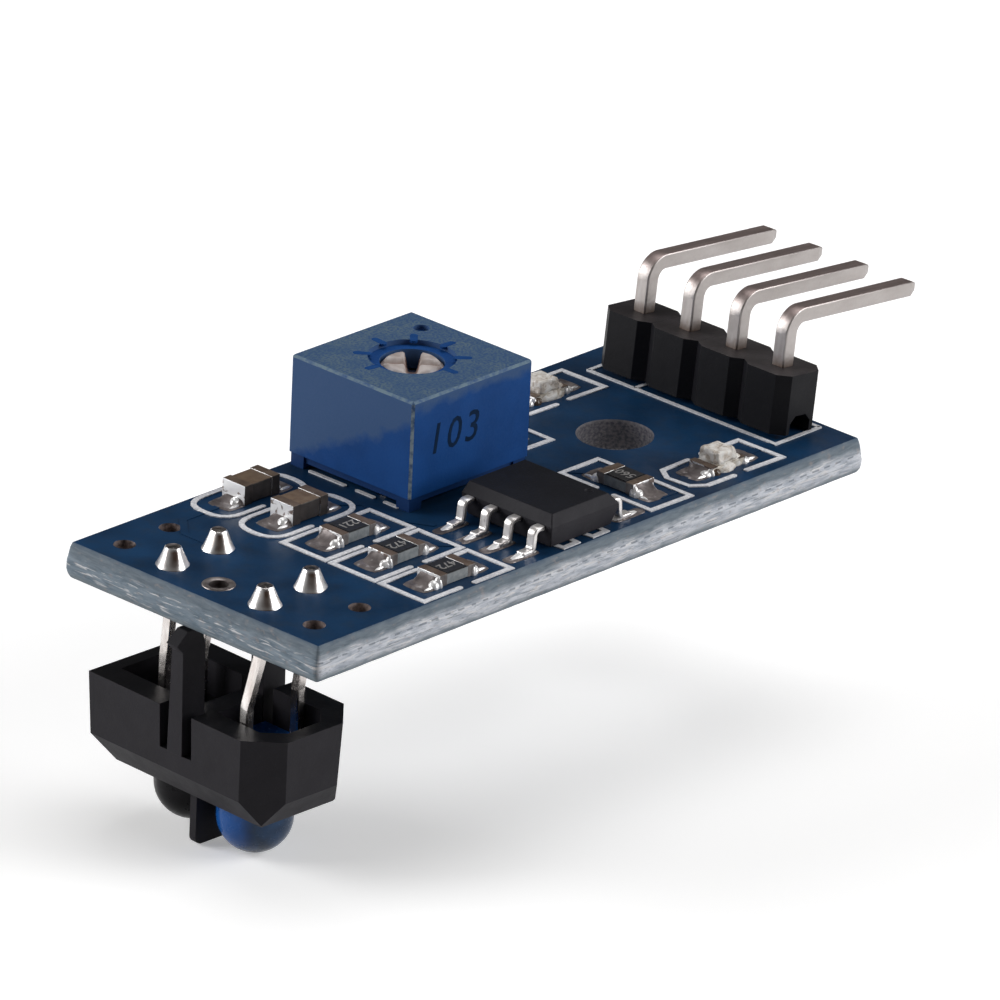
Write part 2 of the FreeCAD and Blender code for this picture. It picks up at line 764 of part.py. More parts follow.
def make_through_solder(header_pin_solids):
    cones = []
    for name, (x, y) in zip(sensor_leads, lead_holes()):
        core = lead_size * math.sqrt(2)
        cone = solder_cone(x, y, sensor_solder_radius, sensor_solder_height, core, False)
        cones.append(cone.cut(nodes[name]))
    add("sensor_solder", cones)
    lean = math.sin(math.radians(header_tilt))
    cones = []
    for pin, y in zip(header_pin_solids, header_rows()):
        x = header_hole_x() - (board_thickness / 2 + header_solder_height / 2) * lean
        cone = solder_cone(x, y, header_solder_radius, header_solder_height, pin_size * math.sqrt(2), True)
        cones.append(cone.cut(pin))
    add("header_solder", cones)
    cones = []
    for number, (x, y) in enumerate(trimmer_pins(), 1):
        core = math.hypot(trimmer_pin_width, trimmer_pin_thickness)
        cone = solder_cone(x, y, trimmer_solder_radius, trimmer_solder_height, core, True)
        cones.append(cone.cut(nodes["trimmer_pin_%d" % number]))
    add("trimmer_solder", cones)


make_board()
make_housing()
make_packages()
make_sensor_leads()
make_trimmer()
make_rotor()
make_trimmer_base()
make_chip()
make_passives()
make_through_solder(make_header())

os.makedirs("parts", exist_ok=True)
for name, shape in nodes.items():
    shape.exportStep("parts/%s.step" % name)
    print(name, "solids", len(shape.Solids), "volume", round(shape.Volume, 3), "valid", shape.isValid())
print("nodes", len(nodes))
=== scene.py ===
import bmesh
import bpy
import json
import math
from mathutils import Matrix, Vector, noise


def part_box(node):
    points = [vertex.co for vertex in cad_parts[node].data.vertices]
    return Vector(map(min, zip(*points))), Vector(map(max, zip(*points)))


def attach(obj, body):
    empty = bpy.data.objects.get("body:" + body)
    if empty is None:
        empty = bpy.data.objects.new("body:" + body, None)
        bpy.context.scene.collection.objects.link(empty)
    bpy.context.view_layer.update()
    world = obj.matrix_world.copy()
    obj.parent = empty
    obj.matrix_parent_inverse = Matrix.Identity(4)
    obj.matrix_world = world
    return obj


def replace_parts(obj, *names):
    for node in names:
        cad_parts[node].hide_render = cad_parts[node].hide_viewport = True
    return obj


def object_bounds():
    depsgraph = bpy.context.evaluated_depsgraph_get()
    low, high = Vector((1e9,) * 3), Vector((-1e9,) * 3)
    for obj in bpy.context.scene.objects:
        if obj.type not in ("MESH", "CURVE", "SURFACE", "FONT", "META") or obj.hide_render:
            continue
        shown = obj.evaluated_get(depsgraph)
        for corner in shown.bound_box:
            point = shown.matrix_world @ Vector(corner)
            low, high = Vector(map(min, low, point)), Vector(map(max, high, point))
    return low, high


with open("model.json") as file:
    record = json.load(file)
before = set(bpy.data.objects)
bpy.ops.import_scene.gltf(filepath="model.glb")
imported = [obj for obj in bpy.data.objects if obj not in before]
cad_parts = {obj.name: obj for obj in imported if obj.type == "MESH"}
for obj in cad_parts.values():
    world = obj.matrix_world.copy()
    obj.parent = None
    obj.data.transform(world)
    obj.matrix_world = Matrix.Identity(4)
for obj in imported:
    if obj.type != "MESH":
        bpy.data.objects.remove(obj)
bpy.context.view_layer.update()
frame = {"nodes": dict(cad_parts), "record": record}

# Lengths below are in millimetres. MM turns them into metres where a mesh or lamp is made.
MM = 0.001

# Camera: where it looks, from which side, and with which lens
VIEW_TARGET = (-8.02, -1.16, -0.24)
VIEW_AZIMUTH = -47.84
VIEW_ELEVATION = 23.125
VIEW_DISTANCE = 437.36
VIEW_ROLL = 2.635
SENSOR_WIDTH = 36
LENS = 394.24

# Light: the sky's level, how pale the floor is to bounced light, and how far it is lifted where it is seen
SKY = (0.1, 0.095, 0.092)
FLOOR_BOUNCE = 0.34
FLOOR_LIFT = 0.3
FLOOR_WHITE = (0.93, 0.93, 0.93)
FLOOR_HALF = 3000
FLOOR_GAP = 0.02

# Soft lamps: angle from the camera's side, elevation, distance, size, and share of a plain light level
LAMPS = {"left_softbox": (-92, 20, 420, 260, 0.8),
         "right_softbox": (88, 22, 420, 260, 0.75),
         "top_softbox": (170, 74, 450, 300, 0.36)}

# Board edge, from the top face down: (drop below the top, inset from the widest line)
EDGE_PROFILE = [(0, 0.27), (0.03, 0.235), (0.22, 0.15), (0.5, 0.08), (0.75, 0.035), (0.95, 0.012),
                (1.12, 0.012), (1.3, 0.06), (1.44, 0.14), (1.5, 0.19)]
BOARD_CORNER = 0.3
CORNER_STEPS = 4
EDGE_STEP = 0.2
EDGE_ROUGHNESS = 0.035
BUNDLE_PITCH = 0.72
BUNDLE_HEIGHT = -0.66
HOLE_SIDES = 40

# Radii of the holes and of the solder round them
MOUNTING_HOLE = 1.6
LEAD_HOLE = 0.475
SPARE_HOLE = 0.45
RING_HOLE = 0.4
RING_LAND = 0.68
HEADER_HOLE = 0.6
TRIMMER_HOLE = 0.4
SENSOR_CONE = 0.68
HEADER_CONE = 0.95
TRIMMER_CONE = 0.75
SPARE_ROW = 5.2

# Plan direction of the parts' near side, where near-white solder beads are set as painted glints
GLINT_SIDE = Vector((-0.5, -1))

# Plan directions: the side of the solder cones painted with a brown band, a painted dark reflection, and the
# side of the emitter's resin painted bright, painted light from the left softbox
DARK_REFLECTION_SIDE = Vector((-0.6, -0.8))
LIT_RESIN_SIDE = Vector((-0.85, 0.52))

# Trimmer rotor: direction of the slot that is filled up, depths of both slots and of the worn rim
SLOT_ANGLE = math.radians(132)
ROTOR_RADIUS = 1.27
ROTOR_SIDES = 72
ROTOR_RINGS = 26
DEEP_SLOT = 0.5
DEEP_SLOT_TILT = 0.42
SHALLOW_SLOT = 0.26
RIM_DROP = 0.22

# Strokes round the dial
DIAL_TICKS = 7
DIAL_SWEEP = 260
STROKE_START = 1.78
STROKE_LENGTH = 0.46
STROKE_WIDTH = 0.32
STROKE_DEPTH = 0.1

# Trimmer body: how high the dust reaches on its -X side, on its other sides, and how the line slants
DUST_LINE_LEFT = 2.1
DUST_LINE_FRONT = 4.35
DUST_SLANT = 0.5

# Chip resistors: width of the body as a share of its ends' width, and how far the plating reaches
RESISTOR_BODY_SHARE = 0.985
PLATED_LENGTH = 0.42

# Edges sharper than this are rounded
SHARP_EDGE = 28

# Printed lines, copper and solder on the board
PRINT_WIDTH = 0.23
PRINT_THIN = 0.19
PRINT_HEIGHT = 0.045
TRACK_WIDTH = 0.3
TRACK_WIDTH_BELOW = 0.45
TRACK_HEIGHT = 0.03
LAND_HEIGHT = 0.03
PAD_HEIGHT = 0.035
PUDDLE_HEIGHT = 0.012
WEDGE_CELLS = 10
PUDDLE_CELLS = 14

# Figures: their heights, how far they stand off a face, and how thick they are
RESISTOR_FIGURES = 0.62
TRIMMER_FIGURES = 1.85
FIGURE_GAP = 0.004
FIGURE_DEPTH = 0.004


def box_mm(node):
    lo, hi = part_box(node)
    return lo / MM, hi / MM


def centre_mm(node):
    lo, hi = box_mm(node)
    return (lo + hi) / 2


def shade(colour, factor):
    return [part * factor for part in colour]


class Finish:
    """A Principled material whose patterns are laid out in millimetres on the piece itself."""

    def __init__(self, name, roughness=0.5, metallic=0, ior=1.5):
        self.material = bpy.data.materials.new(name)
        self.material.use_nodes = True
        self.tree = self.material.node_tree
        self.shader = self.tree.nodes["Principled BSDF"]
        self.put("Roughness", roughness)
        self.put("Metallic", metallic)
        self.put("IOR", ior)
        self.place = self.add("ShaderNodeTexCoord").outputs["Object"]

    def add(self, kind, **settings):
        node = self.tree.nodes.new(kind)
        for key, value in settings.items():
            setattr(node, key, value)
        return node

    def fill(self, node, socket, value):
        if isinstance(value, bpy.types.NodeSocket):
            self.tree.links.new(value, node.inputs[socket])
        else:
            node.inputs[socket].default_value = value

    def put(self, socket, value):
        self.fill(self.shader, socket, value)

    def scaled(self, stretch=(1, 1, 1)):
        mapping = self.add("ShaderNodeMapping")
        self.fill(mapping, "Vector", self.place)
        mapping.inputs["Scale"].default_value = [part / MM for part in stretch]
        return mapping.outputs["Vector"]

    def noise(self, scale, detail=3, stretch=(1, 1, 1), distortion=0):
        node = self.add("ShaderNodeTexNoise")
        self.fill(node, "Vector", self.scaled(stretch))
        self.fill(node, "Scale", scale)
        self.fill(node, "Detail", detail)
        self.fill(node, "Distortion", distortion)
        return node.outputs["Fac"]

    def axis(self, letter, of_normal=False):
        split = self.add("ShaderNodeSeparateXYZ")
        source = self.add("ShaderNodeTexCoord").outputs["Normal"] if of_normal else self.scaled()
        self.fill(split, "Vector", source)
        return split.outputs[letter]

    def upward(self, low, high):
        return self.between(self.axis("Z", True), low, high)

    def toward(self, way):
        """How far the surface faces a plan direction, from -1 to 1."""
        parts = [self.times(self.axis(letter, True), size) for letter, size in zip("XY", way.normalized())]
        return self.sum("ADD", *parts)

    def sum(self, operation, a, b=0):
        node = self.add("ShaderNodeMath", operation=operation)
        self.fill(node, 0, a)
        self.fill(node, 1, b)
        return node.outputs[0]

    def times(self, first, *others):
        for other in others:
            first = self.sum("MULTIPLY", first, other)
        return first

    def off(self, value, middle):
        """Distance of a value from a middle one."""
        return self.sum("ABSOLUTE", self.sum("SUBTRACT", value, middle))

    def between(self, value, low, high, out_low=0, out_high=1):
        node = self.add("ShaderNodeMapRange")
        for socket, number in (("Value", value), ("From Min", low), ("From Max", high),
                               ("To Min", out_low), ("To Max", out_high)):
            self.fill(node, socket, number)
        return node.outputs["Result"]

    def ragged(self, value, reach, scale, detail=3):
        """The value with noise added, up to the reach either way."""
        return self.sum("ADD", value, self.between(self.noise(scale, detail), 0, 1, -reach, reach))

    def mix(self, factor, a, b):
        node = self.add("ShaderNodeMix", data_type="RGBA")
        self.fill(node, 0, factor)
        for socket, colour in ((6, a), (7, b)):
            if not isinstance(colour, bpy.types.NodeSocket):
                colour = (*colour, 1)
            self.fill(node, socket, colour)
        return node.outputs[2]

    def blend(self, value, low, high, a, b, most=1):
        """Colour a up to the low value, and from the high one colour b at its fullest share."""
        return self.mix(self.between(value, low, high, 0, most), a, b)

    def tint(self, colour):
        self.put("Base Color", colour)

    def rough(self, value, low, high, out_low, out_high):
        self.put("Roughness", self.between(value, low, high, out_low, out_high))

    def bump(self, height, strength, depth):
        node = self.add("ShaderNodeBump")
        self.fill(node, "Height", height)
        self.fill(node, "Strength", strength)
        self.fill(node, "Distance", depth * MM)
        previous = self.shader.inputs["Normal"].links
        if previous:
            self.fill(node, "Normal", previous[0].from_socket)
        self.put("Normal", node.outputs["Normal"])

    def grain(self, scale, strength, depth, detail=3):
        self.bump(self.noise(scale, detail), strength, depth)


def solder_mask():
    """Blue mask over the copper: darker where it lies on bare board, faintly mottled all over."""
    f = Finish("solder_mask_blue", ior=1.19)
    tone = f.blend(f.noise(0.3, 2), 0.32, 0.68, (0.004, 0.02, 0.052), (0.0085, 0.042, 0.108))
    tone = f.blend(f.noise(1.3, 5), 0.48, 0.7, tone, (0.015, 0.031, 0.058), 0.6)
    f.tint(f.blend(f.noise(7, 5), 0.35, 0.75, tone, (0.01, 0.048, 0.12), 0.3))
    f.rough(f.noise(2), 0.2, 0.8, 0.27, 0.4)
    f.grain(2.2, 0.2, 0.02)
    f.grain(9, 0.06, 0.004, 2)
    return f


def laminate():
    """Snapped edge of the board: a cut slope on top, a pale torn belt with glass fibres, a dark lower lip;
    the long -Y side is painted paler than the other sides, painted light.
    """
    f = Finish("woven_laminate_edge", ior=1.35)
    height = f.ragged(f.axis("Z"), 0.2, 0.9, 5)
    fibres = f.noise(1.3, 6, (0.9, 0.9, 5), 0.5)
    lit_long_side = f.between(f.axis("Y", True), -0.85, -0.55, 1, 0)
    slope = f.blend(fibres, 0.3, 0.7, (0.105, 0.14, 0.178), (0.205, 0.25, 0.29))
    shaded_side_tone = f.blend(fibres, 0.32, 0.66, (0.128, 0.178, 0.224), (0.275, 0.335, 0.396))
    torn = f.blend(fibres, 0.3, 0.62, (0.37, 0.413, 0.485), (0.745, 0.77, 0.83))
    lip = f.blend(fibres, 0.3, 0.7, (0.165, 0.215, 0.255), (0.32, 0.37, 0.41))
    # Painted light: below the slope the -Y side takes the pale tone, the other sides the darker one.
    colour = f.blend(height, -0.66, -0.34, f.mix(lit_long_side, shaded_side_tone, torn), slope)
    colour = f.mix(f.between(height, -1.38, -1.16, 1, 0), colour, lip)
    belt = f.times(f.between(height, -1.34, -1.1), f.between(height, -0.62, -0.4, 1, 0))
    pale = f.between(f.noise(2, 5, (0.55, 0.55, 5), 0.4), 0.55, 0.66, 0, 0.85)
    colour = f.mix(f.times(pale, belt), colour, (0.84, 0.83, 0.84))
    dashes = f.between(f.noise(2.4, 4, (0.5, 0.5, 9)), 0.6, 0.66)
    colour = f.mix(f.times(dashes, belt, 0.7), colour, (0.2, 0.235, 0.27))
    wave = f.sum("SINE", f.ragged(f.times(f.axis("X"), 2 * math.pi / BUNDLE_PITCH), 3, 1.6))
    row = f.between(f.off(f.axis("Z"), BUNDLE_HEIGHT), 0.02, 0.05, 1, 0)
    bundles = f.times(f.between(wave, -0.1, 0.25), row)
    colour = f.mix(f.times(bundles, f.times(lit_long_side, 0.7)), colour, (0.16, 0.19, 0.23))
    colour = f.blend(f.noise(3.6, 4, (0.8, 0.8, 1.6)), 0.58, 0.74, colour, (0.42, 0.33, 0.29), 0.4)
    colour = f.blend(f.noise(4.8, 4, (0.7, 0.7, 2)), 0.61, 0.72, colour, (0.13, 0.175, 0.21), 0.5)
    colour = f.blend(height, -0.16, 0.06, colour, (0.035, 0.075, 0.135), 0.75)
    f.tint(f.blend(height, -1.46, -1.54, colour, (0.04, 0.07, 0.13), 0.7))
    f.rough(fibres, 0.2, 0.8, 0.5, 0.78)
    f.bump(fibres, 0.7, 0.04)
    f.bump(f.noise(16, 3, (1, 1, 2.5)), 0.4, 0.012)
    return f


def drilled_laminate():
    """Wall of the unplated mounting hole: grey-brown and speckled, with a paler lip at the bottom."""
    f = Finish("drilled_laminate", ior=1.3)
    scuffs = f.noise(7, 6, (1, 1, 1.3), 0.2)
    wall = f.blend(scuffs, 0.36, 0.66, (0.06, 0.064, 0.084), (0.2, 0.185, 0.195))
    lip = f.between(f.axis("Z"), -1.4, -1.2, 1, 0)
    wall = f.mix(f.times(lip, f.between(scuffs, 0.3, 0.55)), wall, (0.55, 0.52, 0.52))
    rim = f.times(f.between(f.axis("Z"), -0.16, -0.03), 0.5)
    f.tint(f.mix(rim, wall, (0.33, 0.31, 0.32)))
    f.bump(scuffs, 0.5, 0.03)
    return f


def solder():
    """Solder cones: bright flanks with a brown band painted down one side as a painted dark reflection, and
    flat brown tops.
    """
    f = Finish("bright_solder", metallic=1)
    cloud = f.noise(1.8, 4, distortion=0.4)
    # Painted dark reflection: flanks that face this plan direction are painted brown.
    dark_band = f.sum("ADD", f.toward(DARK_REFLECTION_SIDE), f.between(cloud, 0.2, 0.8, -0.04, 0.04))
    bright = f.blend(cloud, 0.3, 0.5, (0.72, 0.66, 0.62), (0.96, 0.95, 0.95))
    flank = f.blend(dark_band, 0.8, 0.93, bright, (0.24, 0.17, 0.14))
    skin = f.blend(f.noise(5, 4), 0.35, 0.65, (0.1, 0.08, 0.08), (0.3, 0.26, 0.25))
    f.tint(f.mix(f.times(f.upward(0.78, 0.95), 0.92), flank, skin))
    f.rough(cloud, 0.3, 0.75, 0.36, 0.26)
    f.grain(1.8, 0.2, 0.05)
    return f


def flux_solder():
    """Thin solder left on a pad, dull and browned by flux, with a few pale streaks that are painted glints.
    """
    f = Finish("dull_pad_solder", metallic=0.45)
    cloud = f.noise(1.6, 4, distortion=0.5)
    tone = f.blend(cloud, 0.36, 0.64, (0.075, 0.062, 0.062), (0.23, 0.2, 0.195))
    # Painted glints: scattered pale streaks.
    f.tint(f.blend(f.noise(3.2, 4), 0.62, 0.72, tone, (0.55, 0.52, 0.52), 0.7))
    f.rough(cloud, 0.3, 0.7, 0.5, 0.34)
    f.grain(2.5, 0.3, 0.03)
    return f


def tinned(name, light, dark, roughness, metallic=1, depth=0.02):
    """Drawn and tinned wire, softly streaked along its length."""
    f = Finish(name, metallic=metallic)
    tone = f.blend(f.noise(1.3, 3, (0.6, 2, 0.6)), 0.3, 0.7, dark, light)
    f.tint(f.blend(f.noise(3, 4), 0.6, 0.72, tone, shade(dark, 0.45), 0.5))
    f.rough(f.noise(4), 0.25, 0.8, roughness - 0.05, roughness + 0.07)
    f.grain(3, 0.2, depth)
    return f


def header_pin_tin():
    """Tinned pins: pinkish grey sides, a brown-grey top that is a painted dark reflection, and brown painted
    shade where they enter the strip.
    """
    f = Finish("header_pin_tin", metallic=1)
    streak = f.noise(1.4, 4, (0.35, 4, 0.8))
    side = f.blend(streak, 0.3, 0.75, (0.36, 0.33, 0.316), (0.455, 0.425, 0.415))
    top = f.blend(streak, 0.25, 0.8, (0.3, 0.236, 0.226), (0.47, 0.378, 0.36))
    # Painted dark reflection: upward faces take the brown-grey top tone.
    colour = f.mix(f.times(f.upward(0.45, 0.85), 0.95), side, top)
    # Painted shade: brown low on the pins, below about 2.6 to 3.15 mm.
    foot = f.ragged(f.axis("Z"), 0.25, 2.5)
    f.tint(f.mix(f.between(foot, 2.6, 3.15, 0.9, 0), colour, (0.15, 0.1, 0.075)))
    speckle = f.noise(9, 4)
    f.rough(speckle, 0.25, 0.8, 0.36, 0.52)
    f.bump(speckle, 0.3, 0.01)
    return f


def moulded(name, top, side, roughness, grain=12):
    """Moulded plastic with fine grain and cloudy variation, its upward faces painted in a tone of their own:
    painted shade where that tone is darker than the sides, painted light where it is lighter.
    """
    f = Finish(name, ior=1.22)
    cloud = f.between(f.noise(0.9, 4), 0.3, 0.72)
    # Painted light and shade: upward faces take the top tone, all others the side tone.
    sides = f.mix(cloud, shade(side, 0.92), shade(side, 1.08))
    tops = f.mix(cloud, shade(top, 0.85), shade(top, 1.15))
    tone = f.mix(f.upward(0.6, 0.9), sides, tops)
    f.tint(f.blend(f.noise(grain * 1.4), 0.6, 0.78, tone, [part * 1.6 + 0.006 for part in side], 0.4))
    f.rough(f.noise(1.1), 0.2, 0.8, roughness - 0.06, roughness + 0.08)
    f.grain(grain, 0.4, 0.012)
    f.grain(grain * 0.22, 0.25, 0.03, 2)
    return f


def trimmer_plastic():
    """Blue moulding: strong on its sides, dusty on top and above, paler along its edges and on its end
    corners, and painted shade, a deeper blue, low down near the board.
    """
    lo, hi = box_mm("trimmer_body")
    half = (hi.x - lo.x) / 2
    f = Finish("trimmer_plastic", ior=1.25)
    strong = f.blend(f.noise(0.6, 4), 0.3, 0.7, (0.0055, 0.052, 0.205), (0.0085, 0.068, 0.26))
    left_side = f.between(f.axis("X", True), -0.7, -0.3, 1, 0)
    wander = f.between(f.noise(1.1, 8), 0, 1, -0.7, 0.7)
    along = f.times(f.sum("SUBTRACT", f.axis("Y"), (lo.y + hi.y) / 2), DUST_SLANT)
    reach = f.sum("ADD", f.axis("Z"), f.sum("ADD", wander, f.times(along, left_side)))
    line = f.sum("SUBTRACT", DUST_LINE_FRONT, f.times(left_side, DUST_LINE_FRONT - DUST_LINE_LEFT))
    side_tone = f.blend(f.sum("SUBTRACT", reach, line), -0.22, 0.22, strong, (0.047, 0.101, 0.23))
    dust = f.noise(9, 6, distortion=0.2)
    top_tone = f.blend(dust, 0.42, 0.58, (0.03, 0.072, 0.175), (0.072, 0.125, 0.19))
    patches = f.times(f.between(f.noise(0.9, 4), 0.48, 0.62), f.between(dust, 0.4, 0.6))
    top_tone = f.mix(patches, top_tone, (0.095, 0.145, 0.19))
    tilt = f.axis("Z", True)
    up = f.between(tilt, 0.9, 0.98)
    near_top = f.between(f.axis("Z"), hi.z - 0.05, hi.z - 0.02)
    colour = f.mix(f.times(up, near_top), f.mix(up, side_tone, strong), top_tone)
    # Painted shade: below 0.62 mm the body darkens to a deep blue.
    colour = f.blend(f.axis("Z"), 0.62, 0.5, colour, (0.0075, 0.038, 0.14))
    rim = f.times(f.between(tilt, 0.35, 0.6), f.between(tilt, 0.85, 0.8))
    east = f.sum("ABSOLUTE", f.axis("X", True))
    post = f.times(f.between(east, 0.3, 0.55), f.between(east, 0.9, 0.84))
    corner = f.between(f.off(f.axis("X"), (lo.x + hi.x) / 2), half - 0.4, half - 0.3)
    scuffs = f.between(f.noise(3.5, 6), 0.3, 0.6)
    colour = f.mix(f.times(rim, 0.85, scuffs), colour, (0.17, 0.245, 0.29))
    paler_corners = f.times(post, corner, f.between(tilt, 0.3, 0.2), scuffs)
    f.tint(f.mix(paler_corners, colour, (0.4, 0.5, 0.56)))
    f.rough(dust, 0.3, 0.7, 0.42, 0.64)
    f.grain(10, 0.3, 0.012)
    f.bump(dust, 0.2, 0.015)
    return f


def rotor_nylon():
    """Pinkish-white nylon, painted brown lower down and nearly black in the depth of its slot: painted shade.
    """
    f = Finish("rotor_nylon", 0.42)
    top = box_mm("trimmer_rotor")[1].z
    height = f.ragged(f.axis("Z"), 0.12, 2.2, 4)
    clean = f.blend(f.noise(1.6, 4), 0.38, 0.62, (0.54, 0.49, 0.475), (0.37, 0.31, 0.285))
    # Painted shade: brown lower down the slots, nearly black in their depth.
    painted_slot_shade = f.blend(height, top - 0.3, top - 0.1, (0.25, 0.165, 0.135), clean)
    f.tint(f.blend(height, top - 0.66, top - 0.42, (0.012, 0.02, 0.05), painted_slot_shade))
    f.grain(4, 0.4, 0.04)
    return f


def capacitor_ceramic():
    """Brown ceramic, painted warm on top and nearly grey on its sides: lit and shaded tones of one ceramic,
    painted light and shade.
    """
    f = Finish("capacitor_ceramic", 0.45, ior=1.35)
    cloud = f.noise(2.4, 5)
    # Painted light and shade: upward faces take the warm tone, the sides the grey one.
    tops = f.blend(cloud, 0.34, 0.66, (0.11, 0.07, 0.045), (0.165, 0.115, 0.076))
    sides = f.blend(cloud, 0.34, 0.66, (0.03, 0.026, 0.025), (0.052, 0.044, 0.041))
    f.tint(f.mix(f.upward(0.5, 0.85), sides, tops))
    f.grain(13, 0.35, 0.012)
    return f


def resistor_ceramic():
    """White ceramic block with a black coat on its top face."""
    top = box_mm("resistor_1")[1].z
    f = Finish("resistor_ceramic", 0.45, ior=1.35)
    white = f.blend(f.noise(4, 4), 0.3, 0.7, (0.2, 0.22, 0.23), (0.34, 0.36, 0.37))
    black = f.blend(f.noise(6, 4), 0.3, 0.7, (0.01, 0.01, 0.012), (0.024, 0.024, 0.027))
    f.tint(f.blend(f.axis("Z"), top - 0.045, top - 0.033, white, black))
    f.grain(12, 0.3, 0.01)
    return f


def end_plating(name, axis, side_dark, side_light):
    """Tinned ends of the chip parts: near-white end faces across the axis with dark veins, a painted
    reflection, and brown tops and grey sides elsewhere, painted dark reflection and painted shade.
    """
    f = Finish(name, ior=1.3)
    cloud = f.noise(1.8, 4)
    end = f.between(f.sum("ABSOLUTE", f.axis(axis, True)), 0.45, 0.85)
    veins = f.noise(2.2, distortion=0.6)
    # Painted reflection on the end faces, painted dark reflection on the tops, painted shade on the sides.
    face = f.blend(veins, 0.4, 0.47, (0.22, 0.17, 0.15), (0.98, 0.98, 0.99))
    top = f.blend(cloud, 0.34, 0.66, (0.085, 0.058, 0.042), (0.145, 0.105, 0.078))
    side = f.blend(cloud, 0.34, 0.66, side_dark, side_light)
    f.tint(f.mix(end, f.mix(f.upward(0.5, 0.85), side, top), face))
    f.put("Metallic", f.between(end, 0, 1, 0.05, 0.5))
    f.rough(cloud, 0.3, 0.7, 0.42, 0.3)
    f.grain(2.4, 0.35, 0.035)
    return f


def clear_resin():
    """Cloudy clear resin with brown flecks."""
    f = Finish("cloudy_resin", ior=1.45)
    f.put("Transmission Weight", 0.15)
    cloud = f.noise(2.4, 5, distortion=1.2)
    milky = f.blend(cloud, 0.4, 0.62, (0.62, 0.55, 0.48), (0.93, 0.91, 0.87))
    f.tint(f.blend(f.noise(4.5, 4), 0.62, 0.74, milky, (0.25, 0.18, 0.13), 0.7))
    f.rough(cloud, 0.3, 0.7, 0.2, 0.45)
    f.bump(cloud, 0.7, 0.06)
    return f


def blue_epoxy():
    """Blue resin of the emitter: painted bright blue on the side toward the left softbox and on its back,
    painted light, and cloudy and darker elsewhere.
    """
    f = Finish("blue_epoxy", ior=1.35)
    side = f.sum("ADD", f.toward(LIT_RESIN_SIDE), f.between(f.noise(0.7, 2), 0.3, 0.7, -0.2, 0.2))
    # Painted light: the side toward the left softbox and the upward faces take the bright blue.
    clear = f.sum("MAXIMUM", f.between(side, 0.15, 0.6), f.upward(0.6, 0.9))
    cloud = f.noise(0.8, 2, distortion=0.4)
    cloudy = f.blend(cloud, 0.42, 0.58, (0.016, 0.042, 0.095), (0.026, 0.072, 0.165))
    f.tint(f.mix(clear, cloudy, (0.01, 0.092, 0.35)))
    f.rough(f.noise(5), 0.3, 0.8, 0.16, 0.34)
    f.grain(1.5, 0.08, 0.03)
    return f


def plain(name, colour, lighter, roughness, metallic=0, ior=1.5,
          spots=(3, 4, 0.3, 0.7), grain=(12, 0.3, 0.01)):
    """Two tones in soft spots. Spots: scale, detail, low and high level. Grain: scale, strength, depth."""
    f = Finish(name, roughness, metallic, ior)
    scale, detail, low, high = spots
    f.tint(f.blend(f.noise(scale, detail), low, high, colour, lighter))
    f.grain(*grain)
    return f


def flux_residue():
    """Brown glassy flux."""
    f = plain("flux_residue", (0.045, 0.028, 0.02), (0.17, 0.115, 0.08), 0.18, ior=1.45,
              spots=(4, 4, 0.3, 0.7), grain=(7, 0.5, 0.03))
    f.put("Transmission Weight", 0.3)
    return f


def black_epoxy():
    """Black resin of the detector."""
    f = plain("black_epoxy", (0.005, 0.005, 0.006), (0.011, 0.01, 0.012), 0.3, ior=1.2,
              spots=(1.2, 3, 0.3, 0.7), grain=(1.6, 0.08, 0.03))
    f.rough(f.noise(5), 0.3, 0.8, 0.26, 0.4)
    return f


